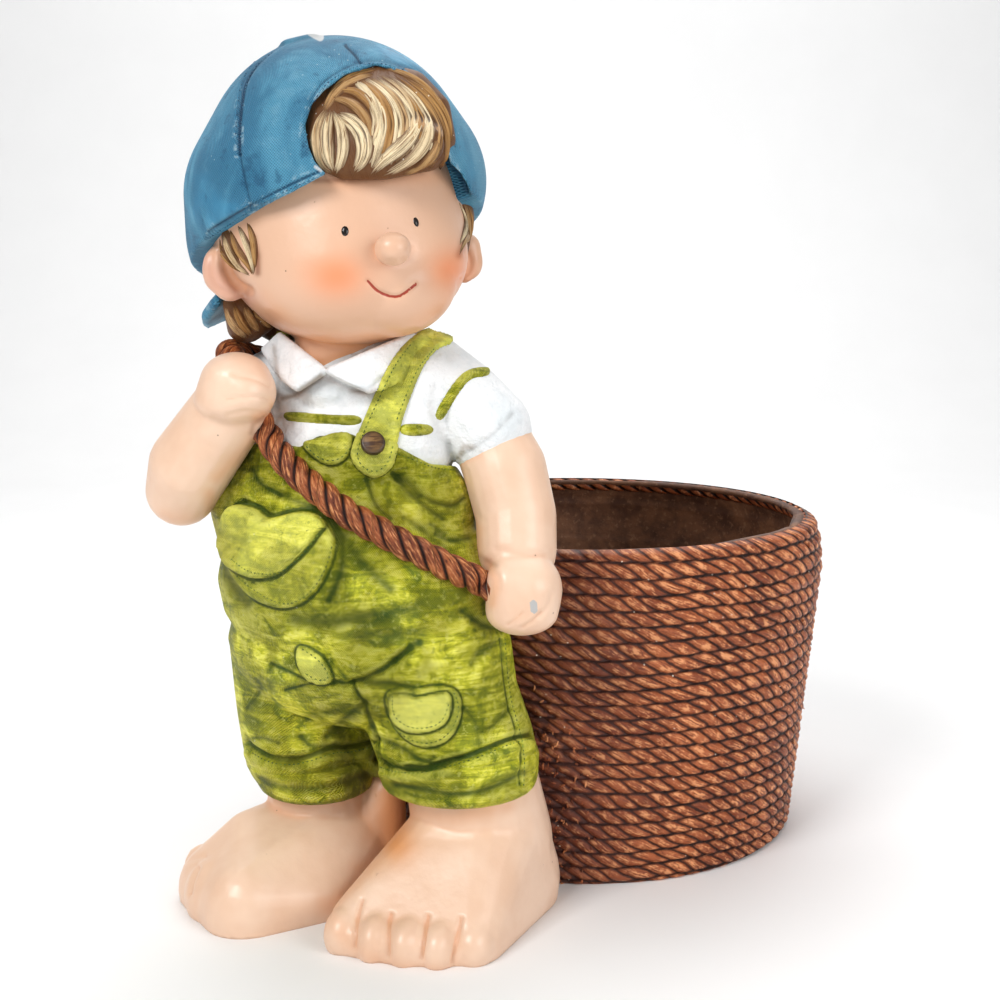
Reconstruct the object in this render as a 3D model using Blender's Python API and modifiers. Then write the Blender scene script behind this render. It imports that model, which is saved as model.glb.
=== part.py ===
import math

import bmesh
import bpy
import numpy as np
from mathutils import Euler, Matrix, Vector
from mathutils.bvhtree import BVHTree

# Height of the figure. Its pose, proportions and carving below are thousandths of this height.
FIGURE_HEIGHT = 0.470

# The planter behind it: a tapered tub wound with rope.
PLANTER_RIM_RADIUS = 0.154
PLANTER_FOOT_RADIUS = 0.1378
PLANTER_HEIGHT = 0.197
PLANTER_SHOULDER = 0.031  # height of the rim's rounding
PLANTER_SHOULDER_INSET = 0.0084
PLANTER_WALL = 0.007
PLANTER_FLOOR = 0.008
PLANTER_ROPE = 0.0095
PLANTER_BEARING = 47.74  # from the figure's middle, in degrees from +X
PLANTER_TOUCH = 132.4  # how far out its foot begins, in thousandths of the figure's height

# Rope over the shoulder and the fineness of the cast.
ROPE_RADIUS = 0.0078
ROPE_TWIST_LENGTH = 0.021
ROPE_BEARING = 215  # where it meets the planter, in degrees from +X
CLAY_GRAIN = 4.47  # thousandths of the figure's height
BODY_TRIANGLES = 4500

PLANTER_SIDES = 36
UNIT = FIGURE_HEIGHT / 1000
BUTTON_SPOT = (30.7, 544.6)
BUTTON_RADII = (13.8, 9.6, 13.8)
ROPE_LIFT = 0.24 * ROPE_RADIUS / UNIT
ROPE_START = (-103.1, -63.8, 600.8)
ROPE_END = (175.5, -112.8, 395.5)
CHEST_ROPE = [(-96.4, 560.8), (-74, 535.4), (-53.8, 512.2), (-25.5, 484.2), (3, 462), (31.7, 443.2), (60.5, 426.7), (89.4, 411.3), (118.4, 397.1), (151, 381.6)]
SHOULDER_ROPE = [(-119.2, -42.6, 630.2), (-130, -10.6, 646), (-136.4, 31.9, 649.4)]
BACK_ROPE = [(-108, 622), (-84, 590), (-55, 552), (-25, 512), (5, 470)]

# Where the front drawing is seen from, and how the head and the body are turned, in degrees.
EYE = (176.6, -1712.8, 744.7)
HEAD_TURN = (0, -8, 22)
BODY_TURN = (0, 0, -16)

# The cap: its hem is a plane through three points, its opening is drawn on the front.
CAP_HEM = ((-149.6, -42.6, 765.1), (59.5, -153.2, 836), (149.4, 14.9, 804.9))
CAP_ARCH = [
    (-26.9, 848.3), (-37.5, 874.5), (-40.3, 901.6), (-32.1, 924.4), (-17.4, 940.5), (5, 956.6), (38.4, 966.3), (66, 959.9),
    (93.5, 941.6), (111, 914.6), (119.8, 890.8), (117.4, 863.6), (118.5, 852.7), (133, 839.5), (140.7, 819.8), (145.2, 797.7), (147.3, 777.8),
    (-37.1, 781.1),
]
BILL_RINGS = ((148.9, 78, -80.9, 0), (163.8, 68, -97.9, 8.5), (176.6, 54, -112.8, 25.5))
BILL_THICKNESS = 14.9

# The dungarees' upper edge, and what it leaves bare, on the front drawing.
BIB_OPENING = [
    (-192, 514.5), (-139.9, 522.6), (-122.3, 535.4), (-96.7, 549.3), (-53.2, 541.2), (-32.3, 553.9), (6.7, 556.2), (29.5, 542.3), (59.4, 541.2),
    (96, 521.5), (125.9, 519.1), (142, 497), (151.1, 444.3), (199.8, 408.9), (339.4, 408.9), (334.3, 764.5), (-183.8, 764.5),
]

LEFT_TOES = [
    ((5.3, -139.4, 14.9), (23.4, 30.9, 30.9)),
    ((41.5, -159.6, 14.9), (20.4, 29.8, 29.8)),
    ((76.6, -170.2, 14.9), (20.4, 29.8, 29.8)),
    ((112.8, -176.6, 14.9), (20, 29.8, 28.7)),
    ((150, -169.1, 14.9), (23.4, 29.8, 28.7)),
]

FRONT = {
    "grooves": [
        ([(-69.6, 984.5), (-105.7, 955.6), (-113, 928.7), (-116.5, 879.9), (-114.4, 836.2)], 2.8, 3.4),
        ([(7.7, 987.7), (22.9, 968.4)], 2.8, 2.6),
        ([(27.4, 729.9), (38.6, 717.6), (54.4, 712), (64.6, 713.1), (81.7, 726.6)], 3, 3.4),
        ([(-148.1, 755.6), (-144.1, 736.6), (-133.1, 726.6), (-119.6, 722.1)], 3.4, 4.7),
        ([(6, 948), (12.1, 909.2), (33.9, 874.5), (32.4, 846.1)], 2.8, 4.3),
        ([(-25.5, 920), (1.2, 923.3), (11.9, 896.2), (4.7, 863.6)], 2.6, 3.2),
        ([(35, 963.1), (56.8, 934.1), (63.1, 901.6), (45.9, 852.7)], 2.8, 4.3),
        ([(63.7, 954.5), (85.6, 923.3), (85.2, 885.4), (67.1, 852.7)], 2.8, 4.3),
        ([(85.7, 937.3), (106.6, 909.2), (106.4, 876.7), (92.8, 854.8)], 2.6, 4.3),
        ([(-32.8, 885.4), (-17.5, 872.3), (-10.1, 846.1)], 2.6, 3.4),
        ([(-12, 928.7), (21.6, 952.3)], 2.3, 3),
        ([(-128.9, 795.5), (-120.6, 771.1), (-107.6, 751.1)], 2.1, 3),
        ([(-113, 802.1), (-106.9, 777.8), (-98.5, 755.6)], 2.1, 3),
        ([(-125.6, 627.2), (-106.4, 621.5), (-86.1, 610.1)], 2.3, 3),
        ([(-132, 602.1), (-109.2, 601), (-86.5, 593)], 2.3, 2.6),
        ([(173.1, 417.2), (199.8, 413.7), (228.9, 410.1)], 3.4, 2.6),
        ([(219.9, 344.7), (200, 323.1)], 2.8, 3.2),
        ([(202.3, 351.8), (186, 335.1)], 2.8, 3.2),
        ([(10.3, -8.3), (2.6, -40.2), (-0.2, -67.1)], 3.2, 4.7),
        ([(45, -26.1), (42.3, -53), (40.8, -77.4)], 3.2, 4.7),
        ([(89.7, -26.1), (84.6, -54.3), (80.8, -81.2)], 3.2, 4.7),
        ([(129.5, -28.7), (125.8, -59.4), (119.6, -87.7)], 3.2, 4.7),
        ([(-186, 34.8), (-193.8, 17.1), (-197.9, 0.6)], 3.4, 4.3),
        ([(-103, 289.3), (-70.3, 279.6), (-41.3, 260.2), (5.8, 261.4), (35.4, 274.8), (71, 306.2)], 4.7, 4.3),
        ([(5.8, 261.4), (18.3, 222.4), (27.2, 179.5)], 4.3, 4.3),
        ([(-29.5, 194.3), (-15.1, 209), (1.9, 233.4)], 4.7, 4.3),
        ([(190.7, 313.4), (174.2, 265.1), (188.4, 197.9)], 3.4, 2.6),
        ([(-29.1, 479.5), (-20.7, 426.7), (-30.8, 385.2)], 5.3, 3.4),
        ([(-110.2, 470.2), (-87.4, 454.9)], 4.3, 3.8),
        ([(49.9, 514.5), (74.9, 473.7), (116.3, 444.3)], 6.4, 2.6),
        ([(29.3, 162.2), (93.4, 157.3), (152.9, 172.1), (219.2, 194.3)], 3.4, 3.8),
        ([(-119.7, 186.9), (-72.7, 167.2), (-25.1, 175.8), (24.9, 185.6)], 3.4, 3.8),
    ],
    "raised": [
        ([(-71.9, 580.3), (21.9, 574.6), (21.8, 564.2), (-72.1, 572.3)], 3),
        ([(62, 570), (99.8, 567.7), (98.6, 557.3), (61.8, 557.3)], 3),
        ([(103.3, 581.5), (112.4, 574.6), (133.2, 609), (158.3, 625), (153.8, 635.2), (126.4, 620.4)], 3),
        ([(80.1, 674.9), (125.4, 663.6), (96.8, 627.2), (71.4, 593), (54.8, 542.3), (17, 551.6), (30.2, 595.3), (62.8, 650)], 5.5),
        ([(10.3, 560.8), (56.1, 556.2), (59.1, 514.5), (33.6, 502.9), (9.6, 514.5)], 5.1),
        ([(-48.6, 541.2), (-30, 552.7), (6.7, 556.2), (9.8, 531.9), (-32.9, 522.6)], 4.3),
        ([(-128.4, 479.5), (-92, 457.3), (-31.7, 460.8), (-41.7, 423.1), (-67.9, 392.3), (-114.6, 387.6), (-139.4, 418.4), (-141.8, 456.1)], 6.4),
        ([(-138.3, 456.1), (-29.4, 460.8), (-23.4, 408.9), (-42.8, 366.2), (-75.8, 351.8), (-117.2, 375.7)], 4.3),
        ([(-62.8, 303.8), (-48.5, 311), (-30.1, 291.7), (-17.7, 262.7), (-44.8, 262.7), (-63.3, 279.6)], 3.4),
        ([(42.2, 248.1), (58.8, 255.4), (127.1, 252.9), (128.1, 218.8), (110.2, 189.3), (67.6, 189.3), (41.9, 221.2)], 3.4),
        ([(49.2, 243.2), (115.3, 248.1), (117.5, 223.7), (103.2, 201.6), (67.7, 201.6), (47.8, 223.7)], 3.2),
    ],
}

# The back is seen from the same height behind the figure.
BACK_EYE = (EYE[0], -EYE[1], EYE[2])
BACK = {
    "grooves": [([(-40, 520), (0, 505), (52, 512)], 3.4, 2.6)],
    "raised": [
        ([(-78, 705), (-44, 712), (30, 520), (-8, 512)], 5.1),
        ([(96, 712), (64, 716), (-22, 512), (18, 508)], 5.1),
    ],
}

workshop = bpy.data.collections.new("workshop")


def rotation(turn):
    return Euler([math.radians(a) for a in turn]).to_matrix()


def ellipsoid_points(centre, radii, turn=(0, 0, 0), fine=3):
    """Points of an ellipsoid; the turn is in degrees about X, Y and Z."""
    shape = bmesh.new()
    bmesh.ops.create_icosphere(shape, subdivisions=fine, radius=1)
    if not isinstance(radii, tuple):
        radii = (radii, radii, radii)
    turned = rotation(turn)
    points = [turned @ Vector([a * b for a, b in zip(v.co, radii)]) + Vector(centre) for v in shape.verts]
    shape.free()
    return [p * UNIT for p in points]


def hull_into(clay, points):
    """Adds the convex hull of the points to the clay as one closed form."""
    made = [clay.verts.new(p) for p in points]
    result = bmesh.ops.convex_hull(clay, input=made)
    spare = [g for g in result["geom_interior"] if isinstance(g, bmesh.types.BMVert)]
    bmesh.ops.delete(clay, geom=spare, context="VERTS")


def ball(clay, centre, radii, turn=(0, 0, 0)):
    hull_into(clay, ellipsoid_points(centre, radii, turn))


def hull(clay, *balls):
    points = []
    for each in balls:
        points += ellipsoid_points(*each)
    hull_into(clay, points)


def limb(clay, *balls):
    """A chain of hulls from each ball to the next."""
    for first, second in zip(balls, balls[1:]):
        hull(clay, first, second)


def plate(clay, rows, radius):
    """A bent plate: the hull of four balls for each cell of a grid of points."""
    for upper, lower in zip(rows, rows[1:]):
        for i in range(len(upper) - 1):
            corners = (upper[i], upper[i + 1], lower[i], lower[i + 1])
            hull_into(clay, [p for c in corners for p in ellipsoid_points(c, radius, fine=1)])


def head_forms(clay):
    hull(clay, ((-5.3, 0, 802.1), (142.6, 140.4, 144.7), HEAD_TURN), ((23.6, -53.2, 750.9), (121.3, 97.9, 89.4), HEAD_TURN))
    ball(clay, (67.3, -159.6, 763.6), (19.1, 19.1, 17.7), HEAD_TURN)
    ball(clay, (58.6, -72.3, 727.3), (72.3, 63.8, 57.4), HEAD_TURN)
    limb(clay, ((7.9, 6.4, 674.6), 53.2), ((7.1, 6.4, 623.4), 57.4))
    hull(clay, ((1.6, -10.6, 673.1), 57.4), ((-18.6, -44.7, 643.6), 27.7))
    hull(clay, ((-125.6, -48.9, 755.3), (14.9, 14.9, 19.1)), ((-134.1, -53.2, 740.1), (13.8, 14.9, 23.4)), ((-117.8, -48.9, 722.7), (14.9, 12.8, 14.9)))
    hull(clay, ((139.6, 44.7, 767.3), (14.9, 12.8, 17)), ((144.2, 44.7, 751.3), (12.8, 12.8, 19.1)), ((135, 40.4, 737.6), (10.6, 10.6, 10.6)))


def cap_forms(clay):
    hull(
        clay, ((-5, 4.3, 847.4), (149.8, 154.3, 149.8), HEAD_TURN), ((-6.9, 4.3, 832.1), (169.4, 166, 130.9), HEAD_TURN),
        ((-25.1, 34, 789.8), (156.4, 146.8, 142.6), HEAD_TURN),
    )


def cap_additions(clay):
    hull(clay, ((-45.2, -17, 984.2), (19.1, 19.1, 8.5)), ((-28.8, -17, 986.3), (17, 19.1, 10.6)))
    head = Vector((-8.8, 4.3, 819.9))
    turned = rotation(HEAD_TURN)
    rows = []
    for reach, spread, drop, longer in BILL_RINGS:
        row = []
        for step in range(9):
            angle = math.radians(spread * (step - 4) / 4)
            ahead = reach * math.cos(angle) + longer * math.cos(angle) ** 2
            place = Vector((reach * math.sin(angle), ahead, drop - 17 * (1 - math.cos(angle))))
            row.append(tuple(head + turned @ place))
        rows.append(row)
    plate(clay, rows, BILL_THICKNESS / 2)


def hair_forms(clay):
    hull(
        clay, ((-8.6, -108.5, 904.9), 21.3), ((13.8, -89.4, 931.3), 21.3), ((47.2, -72.3, 941.5), 21.3), ((82.3, -57.4, 935), 21.3),
        ((104.9, -63.8, 911.4), 21.3), ((110.8, -80.9, 878.7), 21.3), ((-8.9, -129.8, 864.7), 21.3), ((17.9, -142.6, 850.7), 19.1),
        ((58.7, -140.4, 850.8), 19.1), ((100.2, -106.4, 861.3), 19.1), ((47.5, -121.3, 895.6), 29.8),
    )
    hull(clay, ((12.1, -134, 862.3), (27.7, 17, 25.5)), ((48.9, -144.7, 858.5), (34, 17, 23.4)), ((96.2, -129.8, 867.7), (25.5, 17, 23.4)))
    limb(clay, ((-102, -78.7, 793.2), (23.4, 19.1, 21.3)), ((-101.3, -87.2, 763.5), (21.3, 17, 21.3)), ((-95.8, -78.7, 744.5), (12.8, 12.8, 10.6)))
    hull(clay, ((-113.8, -10.6, 703.3), (21.3, 25.5, 19.1)), ((-112.1, 2.1, 677), (21.3, 25.5, 17)), ((-94.3, 6.4, 688.2), (17, 21.3, 17)))
    limb(clay, ((126.5, -10.6, 830.2), (14.9, 21.3, 19.1)), ((137.4, -4.3, 799.8), (10.6, 17, 19.1)), ((132.8, -4.3, 764.4), (8.5, 12.8, 12.8)))
    ball(clay, (-25.4, 85.1, 706.9), (106.4, 55.3, 55.3), HEAD_TURN)


def shirt_forms(clay):
    hull(clay, ((-72.1, 44.7, 593.7), 57.4), ((84, -21.3, 603.9), 57.4), ((6.9, -4.3, 538.2), (123.4, 91.5, 74.5), BODY_TURN))
    hull(clay, ((-55.7, 31.9, 625), 42.6), ((76.9, -10.6, 635.9), 42.6), ((8, 2.1, 649.9), (72.3, 63.8, 29.8), BODY_TURN))
    limb(clay, ((99.5, -10.6, 628), 42.6), ((133.6, -19.1, 594.7), 48.9), ((161.9, -25.5, 563.5), 51.1))
    limb(clay, ((-74, 36.2, 615.4), 42.6), ((-116.1, 40.4, 589.4), 46.8), ((-138.7, 44.7, 561.9), 46.8))


def collar_forms(clay):
    plate(clay, [[(-67.9, -21.3, 673.5), (-85.6, -10.6, 658.4)], [(-43.2, -57.4, 660.8), (-57.7, -53.2, 630.9)], [(-12, -83, 643.8), (-41.7, -74.5, 625.8)]], 6.4)
    plate(clay, [[(79.4, -46.8, 672.4), (92.9, -31.9, 659.5)], [(38.8, -91.5, 659.3), (59.4, -83, 632.9)], [(-2, -95.7, 642.4), (39, -100, 625.5)]], 6.4)


def arm_forms(clay):
    limb(clay, ((161.9, -21.3, 563.1), 42.6), ((182.2, -36.2, 519.4), 47.4), ((194.5, -53.2, 470.7), 45.7), ((195.6, -68.1, 433.6), 44.7))
    hull(clay, ((207.4, -95.7, 394.1), (38.3, 42.6, 42.6)), ((200.7, -104.3, 371.3), (40.4, 36.2, 25.5)), ((184.3, -104.3, 401.5), (23.4, 31.9, 31.9)))
    limb(clay, ((-128.8, 44.7, 579.6), 40.4), ((-189.7, 14.9, 503.1), 42.6))
    limb(clay, ((-188.2, -10.6, 492.8), 41.5), ((-172.5, -31.9, 524.5), 47.4), ((-117.9, -61.7, 595.1), 42.6))
    hull(clay, ((-110.8, -78.7, 625), (38.3, 42.6, 29.8)), ((-97.8, -87.2, 611.6), (31.9, 38.3, 31.9)), ((-113.6, -78.7, 603.2), (43.6, 42.6, 29.8)))


def trouser_forms(clay):
    ball(clay, (-5.8, -4.3, 465), (159.6, 102.1, 110.6), BODY_TURN)
    ball(clay, (11.2, -12.8, 387.9), (167.2, 121.3, 127.7), BODY_TURN)
    hull(clay, ((-72.1, 44.7, 593.7), 60.9), ((84, -21.3, 603.9), 60.9), ((6.9, -4.3, 538.2), (127.2, 95.3, 74.5), BODY_TURN))
    ball(clay, (20.3, -8.5, 315.6), (168.1, 114.9, 102.1), BODY_TURN)
    limb(clay, ((-61.6, 36.2, 304.3), 85.1), ((-66.1, 40.4, 228.9), (75.3, 76.6, 78.7)), ((-59.2, 42.6, 168), (74.5, 74.5, 63.8)))
    limb(clay, ((95.9, -27.7, 320.4), (93.6, 89.4, 93.6)), ((107.3, -36.2, 251.4), (91.5, 83, 91.5)), ((125.7, -40.4, 198.8), (92.6, 80.9, 76.6)))


def cuff_forms(clay):
    hull(clay, ((-53.6, 44.7, 154.6), (78.7, 80.9, 19.1)), ((-46.8, 44.7, 126.7), (70.2, 74.5, 17)))
    hull(clay, ((127.9, -40.4, 190.4), (94.7, 87.2, 21.3)), ((129, -40.4, 159), (91.5, 85.1, 21.3)))


def leg_forms(clay):
    limb(clay, ((-40.8, 48.9, 150.7), 63.8), ((-39.4, 57.4, 77.2), (70.2, 63.8, 63.8)), ((-29, 66, 15.3), (70.2, 70.2, 63.8)))
    limb(clay, ((141.6, -31.9, 165.8), 76.6), ((155.4, -23.4, 89.2), (83, 76.6, 63.8)), ((161.1, -17, 39.4), (80.9, 80.9, 63.8)))
    hull(clay, ((35.9, 44.7, 101.2), (25.5, 29.8, 42.6)), ((35.1, 44.7, 37), (27.7, 29.8, 42.6)), ((-15, 53.2, 33.6), 51.1))


def joint_forms(clay):
    """The web of resin behind the left leg that joins the figure to the planter."""
    hull(clay, ((148, -12, 4), 17), ((152, 62, 4), 17), ((122, -14, 330), 17), ((138, 58, 330), 17))


def foot_forms(clay):
    hull(
        clay, ((178.7, -8.5, 25.5), (70.2, 70.2, 80.9)), ((155.4, -27.7, 84.7), 78.7), ((20.2, -123.4, 12.8), (36.2, 38.3, 42.6)),
        ((143.6, -151.1, 12.8), (38.3, 40.4, 42.6)),
    )
    hull(clay, ((7.4, -141.5, 12.8), 26.6), ((76.6, -169.1, 12.8), 26.6), ((147.9, -167, 12.8), 26.6))
    for place, radii in LEFT_TOES:
        ball(clay, place, radii, (0, 0, -20))
    hull(
        clay, ((-4.3, 63.8, 38.3), (63.8, 63.8, 80.9)), ((-44.1, 61.7, 49.7), 63.8), ((-114.9, -78.7, 17), (51.1, 48.9, 57.4)),
        ((-166, -4.3, 12.8), (42.6, 51.1, 48.9)), ((-31.9, -48.9, 12.8), 34), ((-126.4, 14.9, 68), 29.8),
    )
    ball(clay, (-142.6, -46.8, 17), (55.3, 46.8, 51.1), (0, 0, -40))
    ball(clay, (-180.9, 34, 17), (31.9, 25.5, 31.9), (0, 0, -30))


def smooth_path(points, spacing):
    """Points evenly spaced along a smooth curve through the given ones."""
    knots = [Vector(p) for p in points]
    knots = [2 * knots[0] - knots[1]] + knots + [2 * knots[-1] - knots[-2]]
    dense = []
    for a, b, c, d in zip(knots, knots[1:], knots[2:], knots[3:]):
        for i in range(24):
            t = i / 24
            dense.append(0.5 * (2 * b + (c - a) * t + (2 * a - 5 * b + 4 * c - d) * t**2 + (3 * b - a - 3 * c + d) * t**3))
    dense.append(knots[-2])
    steps = np.array([(q - p).length for p, q in zip(dense, dense[1:])])
    reached = np.concatenate([[0], np.cumsum(steps)])
    count = max(2, round(reached[-1] / spacing))
    wanted = np.linspace(0, reached[-1], count + 1)
    table = np.array(dense)
    return np.column_stack([np.interp(wanted, reached, table[:, k]) for k in range(3)])


def twisted_rope(name, points, radius, twist_length, sides=6, strands=3):
    """A rope of lobed section that turns as it runs, closed at both ends."""
    path = smooth_path([Vector(p) * UNIT for p in points], twist_length / 4)
    shape = bmesh.new()
    rings = []
    up = Vector((0, 0, 1))
    for i, place in enumerate(path):
        ahead = Vector(path[min(i + 1, len(path) - 1)]) - Vector(path[max(i - 1, 0)])
        ahead.normalize()
        side = ahead.cross(up).normalized()
        if i and side.dot(last_side) < 0:
            side = -side
        last_side = side
        over = side.cross(ahead)
        ring = []
        for j in range(sides):
            angle = 2 * math.pi * (j / sides + i / 4 / strands)
            reach = radius * (1.0 if j % 2 == 0 else 0.80)
            ring.append(shape.verts.new(Vector(place) + reach * (math.cos(angle) * side + math.sin(angle) * over)))
        rings.append(ring)
    for first, second in zip(rings, rings[1:]):
        for j in range(sides):
            k = (j + 1) % sides
            shape.faces.new((first[j], first[k], second[k], second[j]))
    shape.faces.new(rings[0][::-1])
    shape.faces.new(rings[-1])
    bmesh.ops.triangulate(shape, faces=shape.faces[:])
    bmesh.ops.recalc_face_normals(shape, faces=shape.faces[:])
    return mesh_object(name, shape)


def mesh_object(name, shape, collection=None):
    data = bpy.data.meshes.new(name)
    shape.to_mesh(data)
    shape.free()
    made = bpy.data.objects.new(name, data)
    (collection or workshop).objects.link(made)
    return made


def evaluated(made):
    """Replaces the object's mesh by what its modifiers make of it."""
    graph = bpy.context.evaluated_depsgraph_get()
    graph.update()
    data = bpy.data.meshes.new_from_object(made.evaluated_get(graph))
    made.modifiers.clear()
    made.data = data
    return made


def boolean(made, other, operation):
    step = made.modifiers.new(operation.title(), "BOOLEAN")
    step.operation = operation
    step.solver = "EXACT"
    step.object = other
    return evaluated(made)


def clay_object(name, *makers):
    shape = bmesh.new()
    for make in makers:
        make(shape)
    return mesh_object(name, shape)


def sight_prism(name, outline, near, far):
    """A prism whose sides run along the lines of sight from the viewing point through the outline."""
    eye = Vector(EYE)
    shape = bmesh.new()
    rings = []
    for depth in (near, far):
        ring = []
        for x, z in outline:
            aim = Vector((x, 0, z)) - eye
            ring.append(shape.verts.new((eye + aim * ((depth - eye.y) / aim.y)) * UNIT))
        rings.append(ring)
    count = len(outline)
    for i in range(count):
        j = (i + 1) % count
        shape.faces.new((rings[0][i], rings[0][j], rings[1][j], rings[1][i]))
    shape.faces.new(rings[0][::-1])
    shape.faces.new(rings[1])
    bmesh.ops.recalc_face_normals(shape, faces=shape.faces[:])
    return mesh_object(name, shape)


def fuse(name, sources, grain, rounds):
    """One skin over all the sources, evened out."""
    whole = bmesh.new()
    for source in sources:
        whole.from_mesh(source.data)
    made = mesh_object(name, whole)
    skin = made.modifiers.new("Skin", "REMESH")
    skin.mode = "VOXEL"
    skin.voxel_size = grain
    even = made.modifiers.new("Even", "SMOOTH")
    even.factor = 0.5
    even.iterations = rounds
    return evaluated(made)


def mesh_arrays(made):
    count = len(made.data.vertices)
    places = np.empty(count * 3)
    normals = np.empty(count * 3)
    made.data.vertices.foreach_get("co", places)
    made.data.vertex_normals.foreach_get("vector", normals)
    return places.reshape(-1, 3), normals.reshape(-1, 3)


def sight(places, eye):
    """Where points lie on a drawing seen from the eye: across and up on the plane through the figure's axis."""
    eye = np.array(eye)
    aim = places / UNIT - eye
    reach = -eye[1] / aim[:, 1]
    return np.column_stack([eye[0] + aim[:, 0] * reach, eye[2] + aim[:, 2] * reach])


def line_distance(spots, line):
    best = np.full(len(spots), 1e9)
    ends = np.array(line, float)
    for a, b in zip(ends, ends[1:]):
        along = b - a
        share = np.clip((spots - a) @ along / max(along @ along, 1e-9), 0, 1)
        best = np.minimum(best, np.linalg.norm(spots - a - share[:, None] * along, axis=1))
    return best


def inside_distance(spots, outline):
    """Distance to the outline, positive inside it."""
    ends = np.array(outline, float)
    ring = np.vstack([ends, ends[:1]])
    inside = np.zeros(len(spots), bool)
    for (ax, az), (bx, bz) in zip(ring, ring[1:]):
        if az == bz:
            continue
        crosses = (az > spots[:, 1]) != (bz > spots[:, 1])
        inside ^= crosses & (spots[:, 0] < (bx - ax) * (spots[:, 1] - az) / (bz - az) + ax)
    distance = line_distance(spots, ring)
    return np.where(inside, distance, -distance)


def carve(made, drawing, eye):
    """Presses the grooves in and raises the areas of a drawing, on the side that faces the eye."""
    places, normals = mesh_arrays(made)
    spots = sight(places, eye)
    toward = np.array(eye) * UNIT - places
    toward /= np.linalg.norm(toward, axis=1)[:, None]
    facing = np.clip(((normals * toward).sum(axis=1) - 0.05) / 0.2, 0, 1)
    shift = np.zeros(len(places))
    for line, width, depth in drawing["grooves"]:
        shift -= depth * np.exp(-((line_distance(spots, line) / width) ** 2))
    for outline, height in drawing["raised"]:
        shift += height * np.clip(inside_distance(spots, outline) / 2.5 + 0.5, 0, 1)
    moved = places + normals * (shift * facing * UNIT)[:, None]
    made.data.vertices.foreach_set("co", moved.ravel())
    made.data.update()


def keep_largest(made):
    """Drops crumbs that a cut leaves beside the body."""
    shape = bmesh.new()
    shape.from_mesh(made.data)
    left = set(shape.verts)
    groups = []
    while left:
        seed = left.pop()
        group, stack = [seed], [seed]
        while stack:
            for edge in stack.pop().link_edges:
                for other in edge.verts:
                    if other in left:
                        left.remove(other)
                        group.append(other)
                        stack.append(other)
        groups.append(group)
    groups.sort(key=len)
    for group in groups[:-1]:
        bmesh.ops.delete(shape, geom=group, context="VERTS")
    shape.to_mesh(made.data)
    shape.free()
    return made


def surface_finder(made, eye):
    """Gives a function that finds the place on the surface behind a spot of a drawing, raised by a lift."""
    shape = bmesh.new()
    shape.from_mesh(made.data)
    tree = BVHTree.FromBMesh(shape)
    shape.free()
    eye = Vector(eye) * UNIT

    def place(spot, lift):
        aim = (Vector((spot[0], 0, spot[1])) * UNIT - eye).normalized()
        hit = tree.ray_cast(eye, aim)[0]
        return (hit - aim * lift * UNIT) / UNIT

    return place


def cut_below(made, level, point=None, normal=(0, 0, 1)):
    """Keeps what lies on the normal's side of a plane and closes the cut."""
    shape = bmesh.new()
    shape.from_mesh(made.data)
    everything = shape.verts[:] + shape.edges[:] + shape.faces[:]
    cut = bmesh.ops.bisect_plane(
        shape, geom=everything, dist=1e-7, plane_co=point or (0, 0, level), plane_no=normal, clear_inner=True
    )
    rim = [e for e in cut["geom_cut"] if isinstance(e, bmesh.types.BMEdge)]
    bmesh.ops.holes_fill(shape, edges=rim, sides=0)
    bmesh.ops.triangulate(shape, faces=shape.faces[:])
    bmesh.ops.recalc_face_normals(shape, faces=shape.faces[:])
    shape.to_mesh(made.data)
    shape.free()


def make_cap():
    dome = clay_object("cap_dome", cap_forms)
    first, middle, last = [Vector(p) * UNIT for p in CAP_HEM]
    upward = (middle - first).cross(last - first).normalized()
    if upward.z < 0:
        upward = -upward
    cut_below(dome, 0, first, upward)
    opening = sight_prism("cap_opening", CAP_ARCH, -260, -20)
    return boolean(dome, opening, "DIFFERENCE")


def make_dungarees():
    cloth = clay_object("dungaree_body", trouser_forms)
    solid = fuse("dungaree_solid", [cloth], CLAY_GRAIN * UNIT, 3)
    opening = sight_prism("bib_opening", BIB_OPENING, -260, 300)
    return boolean(solid, opening, "DIFFERENCE")


def planter_place():
    """The foot's centre: the tub leans against the figure, whatever its own radius."""
    bearing = math.radians(PLANTER_BEARING)
    away = PLANTER_TOUCH * UNIT + PLANTER_FOOT_RADIUS
    return Vector((away * math.cos(bearing), away * math.sin(bearing), 0))


def planter_reach(z):
    """The outer radius at a height: a straight taper that rounds in at the rim."""
    start = PLANTER_HEIGHT - PLANTER_SHOULDER
    if z <= start:
        return PLANTER_FOOT_RADIUS + (PLANTER_RIM_RADIUS - PLANTER_FOOT_RADIUS) * z / start
    share = min(1, (z - start) / PLANTER_SHOULDER)
    return PLANTER_RIM_RADIUS - PLANTER_SHOULDER_INSET * (1 - math.sqrt(1 - share**2))


def turned_object(name, profile):
    """Turns a profile of (radius, height) once about the planter's axis."""
    shape = bmesh.new()
    points = [shape.verts.new((r, 0, z)) for r, z in profile]
    for a, b in zip(points, points[1:]):
        shape.edges.new((a, b))
    made = mesh_object(name, shape)
    turn = made.modifiers.new("Turn", "SCREW")
    turn.steps = turn.render_steps = PLANTER_SIDES
    turn.use_merge_vertices = True
    turn.merge_threshold = 1e-5
    evaluated(made)
    shape = bmesh.new()
    shape.from_mesh(made.data)
    bmesh.ops.remove_doubles(shape, verts=shape.verts[:], dist=1e-6)
    bmesh.ops.dissolve_degenerate(shape, edges=shape.edges[:], dist=1e-7)
    bmesh.ops.triangulate(shape, faces=shape.faces[:])
    bmesh.ops.translate(shape, verts=shape.verts[:], vec=planter_place())
    bmesh.ops.recalc_face_normals(shape, faces=shape.faces[:])
    shape.to_mesh(made.data)
    shape.free()
    return made


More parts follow.
